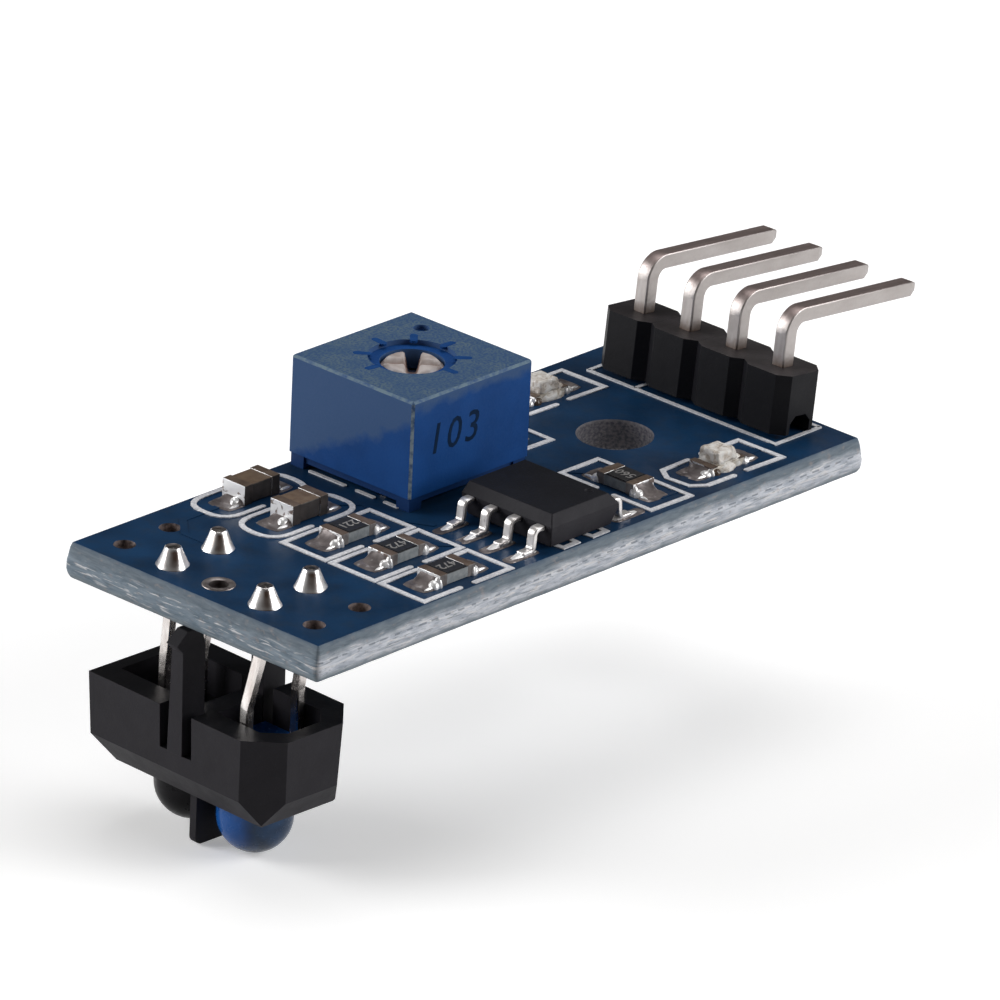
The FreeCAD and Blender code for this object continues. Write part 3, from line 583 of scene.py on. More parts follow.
FINISHES = {
    "solder_mask": solder_mask(),
    "laminate": laminate(),
    "drilled": drilled_laminate(),
    "dark_hole": plain("brown_hole_wall", (0.06, 0.047, 0.047), (0.3, 0.235, 0.22), 0.5,
                       spots=(4, 5, 0.36, 0.62), grain=(7, 0.6, 0.03)),
    "ink": plain("white_printed_ink", (0.56, 0.57, 0.61), (0.84, 0.84, 0.86), 0.55,
                 spots=(9, 4, 0.35, 0.7), grain=(16, 0.4, 0.01)),
    "dull_pad": flux_solder(),
    "residue": flux_residue(),
    "plating": plain("dull_hole_plating", (0.13, 0.11, 0.11), (0.34, 0.31, 0.3), 0.4, 0.9),
    "digits": plain("pale_digits", (0.17, 0.165, 0.16), (0.3, 0.29, 0.28), 0.55),
    "dial_blue": plain("dial_blue", (0.008, 0.046, 0.17), (0.013, 0.062, 0.21), 0.6, ior=1.15),
    "dark_digits": plain("dark_digits", (0.003, 0.014, 0.04), (0.006, 0.022, 0.06), 0.6, ior=1.15),
    # Painted shade: the housing's top is painted darker than its sides.
    "black_plastic": moulded("housing_plastic", (0.008, 0.008, 0.01), (0.0235, 0.022, 0.0265), 0.5),
    "blue_epoxy": blue_epoxy(),
    "black_epoxy": black_epoxy(),
    "blue_plastic": trimmer_plastic(),
    "white_plastic": rotor_nylon(),
    "ceramic": plain("element_ceramic", (0.6, 0.58, 0.54), (0.75, 0.73, 0.69), 0.5),
    "spring_metal": tinned("wiper_metal", (0.75, 0.6, 0.32), (0.45, 0.34, 0.17), 0.3),
    "seal_rubber": plain("seal_rubber", (0.02, 0.02, 0.02), (0.035, 0.035, 0.035), 0.7),
    "sealing_resin": plain("sealing_resin", (0.02, 0.06, 0.16), (0.03, 0.08, 0.2), 0.4),
    # Painted light: the header's top is painted lighter than its sides.
    "header_plastic": moulded("header_plastic", (0.025, 0.022, 0.024), (0.007, 0.007, 0.0092), 0.5, 9),
    "pin_metal": header_pin_tin(),
    # Painted shade: the chip's top is painted darker than its sides.
    "chip_plastic": moulded("chip_plastic", (0.0072, 0.0078, 0.0112), (0.024, 0.023, 0.028), 0.55, 16),
    "solder": solder(),
    # Near-white, half-diffuse solder: painted glints on the chip parts' ends and a painted highlight on the
    # comparator's lead fillets.
    "solder_painted_glint": tinned("solder_painted_glint", (0.98, 0.98, 0.98), (0.88, 0.86, 0.85), 0.32, 0.5, 0.01),
    "chip_lead": tinned("chip_lead", (0.9, 0.88, 0.87), (0.66, 0.62, 0.6), 0.36, 0.85, 0.008),
    "tinned_metal": tinned("tinned_lead", (0.9, 0.87, 0.85), (0.62, 0.56, 0.53), 0.24),
    # End plating: the side tones are painted shade, darker for the capacitors.
    "end_plating": end_plating("end_plating", "X", (0.1, 0.09, 0.088), (0.26, 0.24, 0.235)),
    "end_plating_upright": end_plating("end_plating_upright", "Y", (0.1, 0.09, 0.088), (0.26, 0.24, 0.235)),
    "capacitor_plating": end_plating("capacitor_plating", "X", (0.03, 0.026, 0.025), (0.062, 0.052, 0.048)),
    "resistor_ceramic": resistor_ceramic(),
    "capacitor_ceramic": capacitor_ceramic(),
    "lamp_resin": plain("lamp_base_resin", (0.5, 0.44, 0.36), (0.74, 0.7, 0.63), 0.5,
                        spots=(4, 4, 0.3, 0.7), grain=(9, 0.4, 0.02)),
    "lamp_lens_resin": clear_resin(),
}
FINISHES["board_laminate"] = FINISHES["solder_mask"]
SLOT_OF = {part["node"]: part["material_slot"] for part in frame["record"]["subparts"]}


def paint(mesh, *finishes):
    for finish in finishes:
        mesh.materials.append(FINISHES[finish].material)


def dress_nodes():
    for node, slot in SLOT_OF.items():
        mesh = frame["nodes"][node].data
        mesh.materials.clear()
        paint(mesh, slot)


def new_object(name, data):
    obj = bpy.data.objects.new(name, data)
    bpy.context.scene.collection.objects.link(obj)
    return obj


def new_mesh(name, bm):
    mesh = bpy.data.meshes.new(name)
    bm.to_mesh(mesh)
    bm.free()
    return mesh


def piece(name, bm, finishes, smooth_angle=None, flat_over=None, body="module"):
    """Turn a bmesh in millimetres into a piece of the scene that rides on a body."""
    if flat_over is not None:
        flat = [face.calc_area() > flat_over for face in bm.faces]
    bmesh.ops.recalc_face_normals(bm, faces=bm.faces)
    bmesh.ops.scale(bm, vec=(MM, MM, MM), verts=bm.verts)
    mesh = new_mesh(name, bm)
    obj = new_object(name, mesh)
    paint(mesh, *finishes)
    if smooth_angle is not None:
        mesh.shade_smooth()
        mesh.set_sharp_from_angle(angle=math.radians(smooth_angle))
    if flat_over is not None:
        mesh.polygons.foreach_set("use_smooth", [not wide for wide in flat])
    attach(obj, body)
    return obj


def stand_in(node, name, bm, finish=None, smooth_angle=40, flat_over=None, body="module"):
    """Piece with one finish that takes a node's place. The finish is the node's own if none is named."""
    slot = SLOT_OF[node]
    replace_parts(piece(name, bm, [finish or slot], smooth_angle, flat_over, body), node)


def mesh_of(node):
    """A node's mesh in millimetres, its flat faces whole again."""
    bm = bmesh.new()
    bm.from_mesh(frame["nodes"][node].data)
    bmesh.ops.scale(bm, vec=(1 / MM, 1 / MM, 1 / MM), verts=bm.verts)
    bmesh.ops.remove_doubles(bm, verts=bm.verts, dist=0.002)
    bmesh.ops.dissolve_limit(bm, angle_limit=math.radians(1), verts=bm.verts, edges=bm.edges)
    return bm


def round_off(bm, width, segments=2):
    """Round every sharp edge."""
    edges = [edge for edge in bm.edges
             if len(edge.link_faces) == 2 and edge.calc_face_angle() > math.radians(SHARP_EDGE)]
    bmesh.ops.bevel(bm, geom=edges, offset=width, offset_type="OFFSET", segments=segments, profile=0.5,
                    affect="EDGES", clamp_overlap=True)


def soften(node, width, segments=2, finish=None, flat_over=0.06):
    """Stand-in for a node with its edges rounded off. Faces over an area in square millimetres stay flat."""
    bm = mesh_of(node)
    round_off(bm, width, segments)
    stand_in(node, "soft_" + node, bm, finish, flat_over=flat_over)


def soften_nodes():
    soften("sensor_housing", 0.05, flat_over=0.3)
    soften("comparator_body", 0.035)
    for number in range(1, 5):
        soften("header_pin_%d" % number, 0.065, 3, flat_over=0.3)
    for kind in ("emitter", "detector"):
        for number in (1, 2):
            soften("%s_lead_%d" % (kind, number), 0.06, flat_over=0.15)
    for number in range(1, 9):
        soften("comparator_lead_%d" % number, 0.06, 3, "chip_lead")
    for number in (1, 2):
        soften("capacitor_%d" % number, 0.04)
        soften("capacitor_ends_%d" % number, 0.06, 3, "capacitor_plating")


def add_box(bm, lo, hi):
    for vert in bmesh.ops.create_cube(bm, size=1)["verts"]:
        vert.co = Vector([(a + b) / 2 + part * (b - a) for part, a, b in zip(vert.co, lo, hi)])


def make_resistors():
    """Chip resistors: each body is a hair narrower than its two plated ends."""
    for number in range(1, 6):
        node, ends = "resistor_%d" % number, "resistor_ends_%d" % number
        lo, hi = box_mm(ends)
        length = 0 if hi.x - lo.x > hi.y - lo.y else 1
        width = 1 - length
        middle = centre_mm(node)
        bm = mesh_of(node)
        for vert in bm.verts:
            vert.co[width] = middle[width] + (vert.co[width] - middle[width]) * RESISTOR_BODY_SHARE
        stand_in(node, "narrowed_" + node, bm, smooth_angle=None)
        bm = bmesh.new()
        for start in (lo[length], hi[length] - PLATED_LENGTH):
            block_lo, block_hi = lo.copy(), hi.copy()
            block_lo[length], block_hi[length] = start, start + PLATED_LENGTH
            add_box(bm, block_lo, block_hi)
        round_off(bm, 0.03)
        finish = "end_plating_upright" if length else "end_plating"
        stand_in(ends, "soft_" + ends, bm, finish, flat_over=0.06)


def ring_of(bm, points, z):
    return [bm.verts.new((x, y, z)) for x, y in points]


def angles_round(sides):
    return [2 * math.pi * i / sides for i in range(sides)]


def circle_points(x, y, radius, sides):
    return [(x + radius * math.cos(angle), y + radius * math.sin(angle)) for angle in angles_round(sides)]


def wall_between(bm, upper, lower, material=0):
    for i in range(len(upper)):
        j = (i + 1) % len(upper)
        bm.faces.new((upper[i], upper[j], lower[j], lower[i])).material_index = material


def close_rings(bm, rings):
    """Walls from each ring to the next, and a lid on the first and the last."""
    for lower, upper in zip(rings, rings[1:]):
        wall_between(bm, upper, lower)
    bm.faces.new(rings[0])
    bm.faces.new(rings[-1])


def uneven(angle, amount, spread, seed):
    """A factor near 1 that changes slowly round a circle."""
    return 1 + amount * noise.noise(Vector((math.cos(angle) * spread, math.sin(angle) * spread, seed)))


def plan_way(angle):
    return Vector((math.cos(angle), math.sin(angle)))


def across(way):
    return Vector((-way.y, way.x))


def fade(value, near, far):
    """1 up to the near value, 0 from the far one, smooth between them."""
    share = min(1, max(0, (far - value) / (far - near)))
    return share * share * (3 - 2 * share)


def lobe_drop(x, y):
    """How far the rotor's worn face lies below its top: one deep slot, one shallow one, and a round rim."""
    dark, pale = SLOT_ANGLE - math.radians(90), SLOT_ANGLE
    far_end = (x * math.cos(dark) + y * math.sin(dark)) / ROTOR_RADIUS
    from_dark = abs(x * math.sin(dark) - y * math.cos(dark))
    from_pale = abs(x * math.sin(pale) - y * math.cos(pale))
    deep = (DEEP_SLOT + DEEP_SLOT_TILT * far_end) * fade(from_dark, 0.12, 0.4)
    shallow = SHALLOW_SLOT * fade(from_pale, 0.02, 0.36)
    rim = RIM_DROP * fade(ROTOR_RADIUS - math.hypot(x, y), 0, 0.3) ** 2
    return max(deep, shallow, rim)


def make_rotor():
    """The rotor with four worn, rounded lobes."""
    bm = bmesh.new()
    lo, hi = box_mm("trimmer_rotor")
    centre = (lo + hi) / 2
    rings = []
    for step in range(1, ROTOR_RINGS + 1):
        ring = []
        for x, y in circle_points(0, 0, ROTOR_RADIUS * step / ROTOR_RINGS, ROTOR_SIDES):
            lump = 0.05 * noise.noise(Vector((x * 1.8, y * 1.8, 5))) - 0.02
            ring.append(bm.verts.new((centre.x + x, centre.y + y, hi.z + lump - lobe_drop(x, y))))
        rings.append(ring)
    rings.append(ring_of(bm, circle_points(centre.x, centre.y, ROTOR_RADIUS, ROTOR_SIDES), lo.z))
    close_rings(bm, rings[::-1])
    stand_in("trimmer_rotor", "soft_rotor", bm, smooth_angle=70, body="rotor")


def make_dial_print():
    """Blue strokes in the dial's ticks."""
    bm = bmesh.new()
    centre = centre_mm("trimmer_rotor")
    base = box_mm("trimmer_body")[1].z - STROKE_DEPTH
    for tick in range(DIAL_TICKS):
        angle = SLOT_ANGLE - math.radians(90) + math.radians(DIAL_SWEEP) * (tick / (DIAL_TICKS - 1) - 0.5)
        way = plan_way(angle)
        spot = centre.xy + way * STROKE_START
        strip(bm, [spot, spot + way * STROKE_LENGTH], STROKE_WIDTH, base, STROKE_DEPTH + 0.005)
    piece("dial_strokes", bm, ["dial_blue"])


def make_header_units():
    """The strip as its four moulded units, with a crease where each meets the next."""
    out = bmesh.new()
    lo, hi = box_mm("header_strip")
    pitch = (hi.y - lo.y) / len(HEADER_YS)
    for unit in range(len(HEADER_YS)):
        bm = mesh_of("header_strip")
        for y, way in ((lo.y + pitch * unit, -1), (lo.y + pitch * (unit + 1), 1)):
            if lo.y + 0.01 < y < hi.y - 0.01:
                cut = bmesh.ops.bisect_plane(bm, geom=bm.verts[:] + bm.edges[:] + bm.faces[:],
                                             plane_co=(0, y, 0), plane_no=(0, way, 0), clear_outer=True)
                rim = [part for part in cut["geom_cut"] if isinstance(part, bmesh.types.BMEdge)]
                bmesh.ops.edgeloop_fill(bm, edges=rim)
        round_off(bm, 0.1, 3)
        mesh = new_mesh("unit", bm)
        out.from_mesh(mesh)
        bpy.data.meshes.remove(mesh)
    stand_in("header_strip", "header_units", out, flat_over=0.2)


def blob(bm, x, y, size_x, size_y, height, seed, turn=0):
    """Low smooth mound that lies on the board."""
    rings = []
    for step in range(8):
        angle_up = math.radians(90) * step / 7.6
        ring = []
        for angle in angles_round(24):
            spot = Vector((size_x * math.cos(angle), size_y * math.sin(angle)))
            spot = spot * uneven(angle, 0.3, 0.9, seed) * math.cos(angle_up)
            spot.rotate(Matrix.Rotation(math.radians(turn), 2))
            ring.append(bm.verts.new((x + spot.x, y + spot.y, BOARD_TOP + height * math.sin(angle_up))))
        rings.append(ring)
    close_rings(bm, rings)


def roughen(bm, depth, seed):
    """Cut the faces small and sink them unevenly, all but those that stand on the board."""
    bmesh.ops.triangulate(bm, faces=bm.faces)
    for _ in range(3):
        long_edges = [edge for edge in bm.edges if edge.calc_length() > 0.12]
        bmesh.ops.subdivide_edges(bm, edges=long_edges, cuts=1, use_grid_fill=True)
        bmesh.ops.triangulate(bm, faces=bm.faces)
    bm.normal_update()
    for vert in bm.verts:
        if vert.co.z > BOARD_TOP + 0.02:
            lump = noise.noise(vert.co * 2.6 + Vector((seed, 0, 0))) + 0.5 * noise.noise(vert.co * 7)
            vert.co -= vert.normal * depth * (0.7 + lump)


def make_lamp_tops():
    """Uneven clear tops of the chip lamps, and the flux left beside them."""
    for number, name in enumerate(("output_lamp", "power_lamp")):
        for part, width, depth in (("lens", 0.12, 0.05), ("base", 0.05, 0.035)):
            node = "%s_%s" % (name, part)
            bm = mesh_of(node)
            round_off(bm, width, 3)
            roughen(bm, depth, 7 * number)
            stand_in(node, "lumpy_" + node, bm, smooth_angle=60)
        lo, hi = box_mm(name + "_base")
        bm = bmesh.new()
        blob(bm, lo.x + 0.2, lo.y + 0.2, 0.34, 0.34, 0.3, 3 + number)
        blob(bm, lo.x + 0.1, lo.y + 0.8, 0.26, 0.3, 0.26, 8 + number)
        piece(name + "_flux", bm, ["residue"], 60)
        bm = bmesh.new()
        blob(bm, (lo.x + hi.x) / 2 + 0.12, (lo.y + hi.y) / 2 - 0.05, 0.92, 0.72, 0.42, 17 + number)
        blob(bm, lo.x + 0.75, lo.y + 0.75, 0.5, 0.5, 0.7, 23 + number)
        blob(bm, hi.x - 0.35, lo.y + 0.3, 0.42, 0.3, 0.46, 29 + number, -20)
        piece(name + "_resin_skirt", bm, ["lamp_lens_resin"], 60)


def grid_between(node, margin, columns, rows):
    """Places spaced evenly inside a node's box, a margin in from its sides."""
    lo, hi = box_mm(node)
    xs = [lo.x + margin + (hi.x - lo.x - 2 * margin) * i / max(columns - 1, 1) for i in range(columns)]
    ys = [lo.y + margin + (hi.y - lo.y - 2 * margin) * i / max(rows - 1, 1) for i in range(rows)]
    return xs, ys


SENSOR_XS, SENSOR_YS = grid_between("sensor_solder", SENSOR_CONE, 2, 2)
HEADER_XS, HEADER_YS = grid_between("header_solder", HEADER_CONE, 1, 4)
TRIMMER_XS, TRIMMER_YS = grid_between("trimmer_solder", TRIMMER_CONE, 3, 2)
TRIMMER_PINS = list(zip(TRIMMER_XS, (TRIMMER_YS[0], TRIMMER_YS[1], TRIMMER_YS[0])))
HEADER_X = HEADER_XS[0]
RING_PLACE = (SENSOR_XS[0], (SENSOR_YS[0] + SENSOR_YS[1]) / 2)
BOARD_LO, BOARD_HI = box_mm("circuit_board")
BOARD_TOP = BOARD_HI.z
BOARD_BOTTOM = BOARD_LO.z

# What the board's faces are made of, in the order of their material numbers
BOARD_FINISHES = ["solder_mask", "laminate", "drilled", "dark_hole", "plating"]


def board_holes():
    """Every hole as (x, y, radius, wall material)."""
    holes = [(0, 0, MOUNTING_HOLE, 2)]
    holes += [(x, y, LEAD_HOLE, 4) for x in SENSOR_XS for y in SENSOR_YS]
    holes += [(x, side * SPARE_ROW, SPARE_HOLE, 3) for x in SENSOR_XS for side in (-1, 1)]
    holes.append((*RING_PLACE, RING_HOLE, 4))
    holes += [(HEADER_X, y, HEADER_HOLE, 4) for y in HEADER_YS]
    return holes + [(x, y, TRIMMER_HOLE, 4) for x, y in TRIMMER_PINS]


def board_outline():
    """Points round the board with their outward directions, at even steps and with round corners."""
    half_x = (BOARD_HI.x - BOARD_LO.x) / 2
    half_y = (BOARD_HI.y - BOARD_LO.y) / 2
    middle = (BOARD_LO + BOARD_HI) / 2
    out = []
    for sx, sy, first, half_run in ((1, -1, -90, half_y), (1, 1, 0, half_x), (-1, 1, 90, half_y),
                                    (-1, -1, 180, half_x)):
        corner = Vector((middle.x + sx * (half_x - BOARD_CORNER), middle.y + sy * (half_y - BOARD_CORNER)))
        for step in range(CORNER_STEPS + 1):
            way = plan_way(math.radians(first + 90 * step / CORNER_STEPS))
            out.append((corner + way * BOARD_CORNER, way))
        length = 2 * (half_run - BOARD_CORNER)
        count = int(length / EDGE_STEP)
        start, way = out[-1]
        out += [(start + across(way) * length * i / count, way) for i in range(1, count)]
    return out


def loop_edges(bm, ring):
    return [bm.edges.get((a, b)) or bm.edges.new((a, b)) for a, b in zip(ring, ring[1:] + ring[:1])]


def make_board():
    """The board with its torn edge and every hole."""
    bm = bmesh.new()
    outline = board_outline()
    rings = []
    for drop, inset in EDGE_PROFILE:
        ring = []
        for place, way in outline:
            torn = noise.noise(Vector((place.x * 1.1, place.y * 1.1, drop * 3)))
            torn += 0.6 * noise.noise(Vector((place.x * 4, place.y * 4, drop * 9 + 20)))
            share = min(1, 0.35 + drop * 1.6)
            spot = place - way * (inset + EDGE_ROUGHNESS * share * (torn + 1.2) / 2)
            ring.append(bm.verts.new((spot.x, spot.y, BOARD_TOP - drop)))
        rings.append(ring)
    for upper, lower in zip(rings, rings[1:]):
        wall_between(bm, upper, lower, 1)
    top_edges = loop_edges(bm, rings[0])
    bottom_edges = loop_edges(bm, rings[-1])
    for x, y, radius, wall in board_holes():
        points = circle_points(x, y, radius, HOLE_SIDES)
        upper = ring_of(bm, points, BOARD_TOP)
        lower = ring_of(bm, points, BOARD_BOTTOM)
        wall_between(bm, upper, lower, wall)
        top_edges += loop_edges(bm, upper)
        bottom_edges += loop_edges(bm, lower)
    for edges in (top_edges, bottom_edges):
        bmesh.ops.triangle_fill(bm, use_beauty=True, edges=edges)
    board = piece("board_with_torn_edges", bm, BOARD_FINISHES, 35)
    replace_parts(board, "circuit_board")


def rounded_path(points, radius):
    """The path with each corner turned into an arc."""
    steps = 5
    path = [Vector(points[0])]
    for before, corner, after in zip(points, points[1:], points[2:]):
        before, corner, after = Vector(before), Vector(corner), Vector(after)
        way_in = (corner - before).normalized()
        way_out = (after - corner).normalized()
        trim = radius * math.tan(way_in.angle(way_out) / 2)
        start, end = corner - way_in * trim, corner + way_out * trim
        for i in range(steps + 1):
            t = i / steps
            path.append(start * (1 - t) ** 2 + corner * 2 * t * (1 - t) + end * t ** 2)
    path.append(Vector(points[-1]))
    return path


def end_cap(place, way, width):
    start = math.atan2(way.y, way.x)
    return [place + plan_way(start + math.radians(turn)) * width / 2 for turn in (60, 30, 0, -30, -60)]


def strip(bm, points, width, base, height):
    """Raised line with mitred corners and round ends. With a negative height it hangs down from its base."""
    points = [Vector(p) for p in points]
    left, right = [], []
    for i, here in enumerate(points):
        ways = []
        if i > 0:
            ways.append((here - points[i - 1]).normalized())
        if i < len(points) - 1:
            ways.append((points[i + 1] - here).normalized())
        side = across(sum(ways, Vector((0, 0))).normalized())
        reach = width / 2 / max(0.45, side.dot(across(ways[0])))
        left.append(here + side * reach)
        right.append(here - side * reach)
    outline = left + end_cap(points[-1], (points[-1] - points[-2]).normalized(), width)
    outline += right[::-1] + end_cap(points[0], (points[0] - points[1]).normalized(), width)
    lower = ring_of(bm, outline, base)
    upper = ring_of(bm, outline, base + height)
    wall_between(bm, upper, lower)
    bm.faces.new(upper)
    bm.faces.new(lower)


def around(middle, *offsets):
    """Path whose points are given from the middle of a part."""
    return [(middle.x + x, middle.y + y) for x, y in offsets]


def bracket_pair(middle, x0, gap0, gap1, x1, half):
    """The two facing brackets printed round a chip part that lies along X."""
    return [around(middle, (gap, -half), (x, -half), (x, half), (gap, half))
            for x, gap in ((x0, gap0), (x1, gap1))]


def make_print():
    """White lines printed round the parts."""
    lines = []
    for number in (1, 2, 3):
        lines += bracket_pair(centre_mm("resistor_%d" % number), -2.47, -0.42, 0.38, 2.48, 1.17)
    for number in (4, 5):
        c = centre_mm("resistor_%d" % number)
        lines.append(around(c, (-1.08, 0.55), (-1.08, 2.5), (1.12, 2.5), (1.13, 0.55)))
        lines.append(around(c, (-1.14, -0.45), (-1.14, -2.45), (1.16, -2.5), (1.18, -0.5)))
    for node in ("output_lamp_base", "power_lamp_base"):
        c = centre_mm(node)
        lines.append(around(c, (-0.53, 1.1), (-2.1, 1.06), (-2.55, 0.4), (-2.47, -0.72), (-1.88, -1.17),
                            (-0.3, -1.21)))
        lines.append(around(c, (0.35, 1.18), (2.55, 1.14), (2.59, -1.22), (0.5, -1.15)))
    for x in (-1.28, 0.42):
        lines.append(around(centre_mm("comparator_body"), (x, -1.9), (x + 0.06, -2.47), (x + 0.86, -2.45),
                            (x + 0.88, -1.9)))
    for number in (1, 2):
        pair = bracket_pair(centre_mm("capacitor_%d" % number), -2.63, -0.45, 0.4, 2.43, 1.14)
        lines += [rounded_path(path, 1.05) for path in pair]
    head = centre_mm("header_strip")
    thin_lines = [around(head, (-1.55, 5.2), (-1.55, -5.12), (1.13, -5.12)),
                  around(head, (1.13, -5.02), (1.13, 5.2), (-1.45, 5.2)),
                  around(head, (-1.45, 2.64), (-0.65, 2.64))]
    x = box_mm("trimmer_body")[0].x + 0.13
    thin_lines += [[(x, y0), (x, y1)] for y0, y1 in ((5.45, 3.55), (2.85, 1.95), (1.3, 0.62))]
    bm = bmesh.new()
    for paths, width in ((lines, PRINT_WIDTH), (thin_lines, PRINT_THIN)):
        for path in paths:
            strip(bm, path, width, BOARD_TOP, PRINT_HEIGHT)
    piece("printed_lines", bm, ["ink"])


def block_on_board(bm, cells, shape):
    """Block on the board. For u from 0 to 1 and v from -1 to 1, the shape gives a place and a height."""
    low, high = {}, {}
    for i in range(cells + 1):
        for j in range(cells + 1):
            spot, z = shape(i / cells, 2 * j / cells - 1)
            low[i, j] = bm.verts.new((spot.x, spot.y, BOARD_TOP))
            high[i, j] = bm.verts.new((spot.x, spot.y, BOARD_TOP + z))
    for i in range(cells):
        for j in range(cells):
            for level in (low, high):
                bm.faces.new((level[i, j], level[i + 1, j], level[i + 1, j + 1], level[i, j + 1]))
    for k in range(cells):
        for a, b in (((0, k), (0, k + 1)), ((cells, k), (cells, k + 1)), ((k, 0), (k + 1, 0)),
                     ((k, cells), (k + 1, cells))):
            bm.faces.new((low[a], low[b], high[b], high[a]))


def solder_wedge(bm, origin, way, reach, inner_half, outer_half, rise, seed, sharp):
    """Solder from a part's end face down to its pad, hollow in section and tapering outwards."""
    def shape(u, v):
        half = inner_half + (outer_half - inner_half) * u
        half *= math.sqrt(max(0, 1 - max(0, (u - 0.8) / 0.2) ** 2 * 0.55))
        spot = origin + way * reach * u + across(way) * half * v
        dome = max(0, 1 - abs(v) ** 4)
        wobble = 1 + 0.3 * noise.noise(Vector((spot.x * 1.2, spot.y * 1.2, seed)))
        z = PAD_HEIGHT + rise * (1 - u) ** sharp * (0.45 + 0.55 * dome) * wobble
        if u == 1 or abs(v) == 1:
            z = max(PAD_HEIGHT * 0.5, z - 0.03)
        return spot, z

    block_on_board(bm, WEDGE_CELLS, shape)


def pad_puddle(bm, origin, way, reach, half, height, seed):
    """Thin uneven layer of solder over a pad, with round corners."""
    def shape(u, v):
        u = 2 * u - 1
        squeeze = math.sqrt(max(0, 1 - 0.24 * u ** 2 * v ** 2))
        spot = origin + way * reach * (0.5 + u * squeeze / 2) + across(way) * half * v * squeeze
        ripple = noise.noise(Vector((spot.x * 3.2, spot.y * 3.2, seed)))
        fullness = max(0, 1 - max(abs(u), abs(v)) ** 8)
        return spot, PUDDLE_HEIGHT + height * (0.75 + 0.5 * ripple) * fullness

    block_on_board(bm, PUDDLE_CELLS, shape)


def chip_ends(node):
    """Both end faces of a chip part: (middle of the end, outward direction)."""
    lo, hi = box_mm(node)
    c = (lo + hi) / 2
    if hi.x - lo.x > hi.y - lo.y:
        return [(Vector((lo.x, c.y)), Vector((-1, 0))), (Vector((hi.x, c.y)), Vector((1, 0)))]
    return [(Vector((c.x, lo.y)), Vector((0, -1))), (Vector((c.x, hi.y)), Vector((0, 1)))]


def make_pad_solder():
    """Dull solder sloping from the chip parts' ends over their pads, with near-white beads at the near
    corners that are painted glints.
    """
    pads, fillets_and_glints = bmesh.new(), bmesh.new()
    nodes = ["resistor_ends_%d" % n for n in range(1, 6)] + ["capacitor_ends_1", "capacitor_ends_2"]
    nodes += ["output_lamp_ends", "power_lamp_ends"]
    for number, node in enumerate(nodes):
        tall = node.startswith("capacitor")
        rise = min(box_mm(node)[1].z - BOARD_TOP, 0.5)
        for end, (place, way) in enumerate(chip_ends(node)):
            seed = number * 3 + end
            side = across(way)
            near = side if side.dot(GLINT_SIDE) > 0 else -side
            pad_puddle(pads, place - way * 0.3, way, 1.22, 0.66, 0.06, seed)
            wedge_rise = rise * (0.5 if tall else 0.85)
            solder_wedge(pads, place - way * 0.03, way, 0.72, 0.58, 0.5, wedge_rise, seed, 2.2)
            # Painted glints: near-white blobs at the foot and the top of each end's near corner, and a thin
            # bright ridge beyond the end.
            foot = place + way * 0.12 + near * (0.22 if tall else 0.42)
            blob(fillets_and_glints, foot.x, foot.y, 0.27, 0.24, rise * 0.5 + 0.04, seed)
            if not tall:
                top_glint = place + near * 0.5 - way * 0.04
                blob(fillets_and_glints, top_glint.x, top_glint.y, 0.17, 0.2, rise * 0.86, seed + 1)
            tail = place + way * 0.42 + near * 0.5
            blob(fillets_and_glints, tail.x, tail.y, 0.34, 0.075, 0.12, seed, math.degrees(math.atan2(way.y, way.x)))
    piece("chip_part_pads", pads, ["dull_pad"], 50)
    stand_in("chip_part_solder", "chip_part_fillets_and_glints", fillets_and_glints, "solder_painted_glint", 60)


def make_chip_solder():
    """Pads of the comparator's leads, with a wedge of solder at each toe and behind it."""
    pads, fillets_and_glints = bmesh.new(), bmesh.new()
    chip = centre_mm("comparator_body")
    for number in range(1, 9):
        lo, hi = box_mm("comparator_lead_%d" % number)
        c = (lo + hi) / 2
        way = Vector((-1 if c.x < chip.x else 1, 0))
        toe = Vector((lo.x if way.x < 0 else hi.x, c.y))
        pad_puddle(pads, toe - way * 0.95, way, 1.8, 0.3, 0.045, number * 4)
        solder_wedge(fillets_and_glints, toe - way * 0.14, way, 0.72, 0.21, 0.1, 0.15, number * 5, 1.2)
        solder_wedge(fillets_and_glints, toe - way * 0.6, -way, 0.28, 0.21, 0.12, 0.2, number * 7, 1.5)
    piece("chip_lead_pads", pads, ["dull_pad"], 50)
    # The lead fillets take the near-white solder, a painted highlight.
    stand_in("comparator_solder", "chip_lead_fillets", fillets_and_glints, "solder_painted_glint", 60)


def cone_of_solder(bm, x, y, base_radius, top_radius, height, core, seed, face, out):
    """Cone of solder round a lead: a thin foot, straight flanks, a rounded rim and a dip at the top."""
    levels = [(0, base_radius), (0.02, base_radius * 0.99), (0.05, base_radius * 0.955)]
    for step in range(1, 7):
        share = step / 7
        flank = base_radius * 0.94 * (1 - share) + top_radius * share
        levels.append((0.06 + (height - 0.1) * share, flank - 0.02 * base_radius * math.sin(math.pi * share)))
    levels += [(height * 0.96, top_radius), (height, top_radius * 0.88), (height * 0.975, core)]
    rings = []
    for rise, radius in levels:
        ring = []
        for angle in angles_round(40):
            reach = radius * uneven(angle, 0.1, 1.3, seed + rise * 0.5)
            spot = (x + reach * math.cos(angle), y + reach * math.sin(angle), face + out * rise)
            ring.append(bm.verts.new(spot))
        rings.append(ring)
    close_rings(bm, rings)


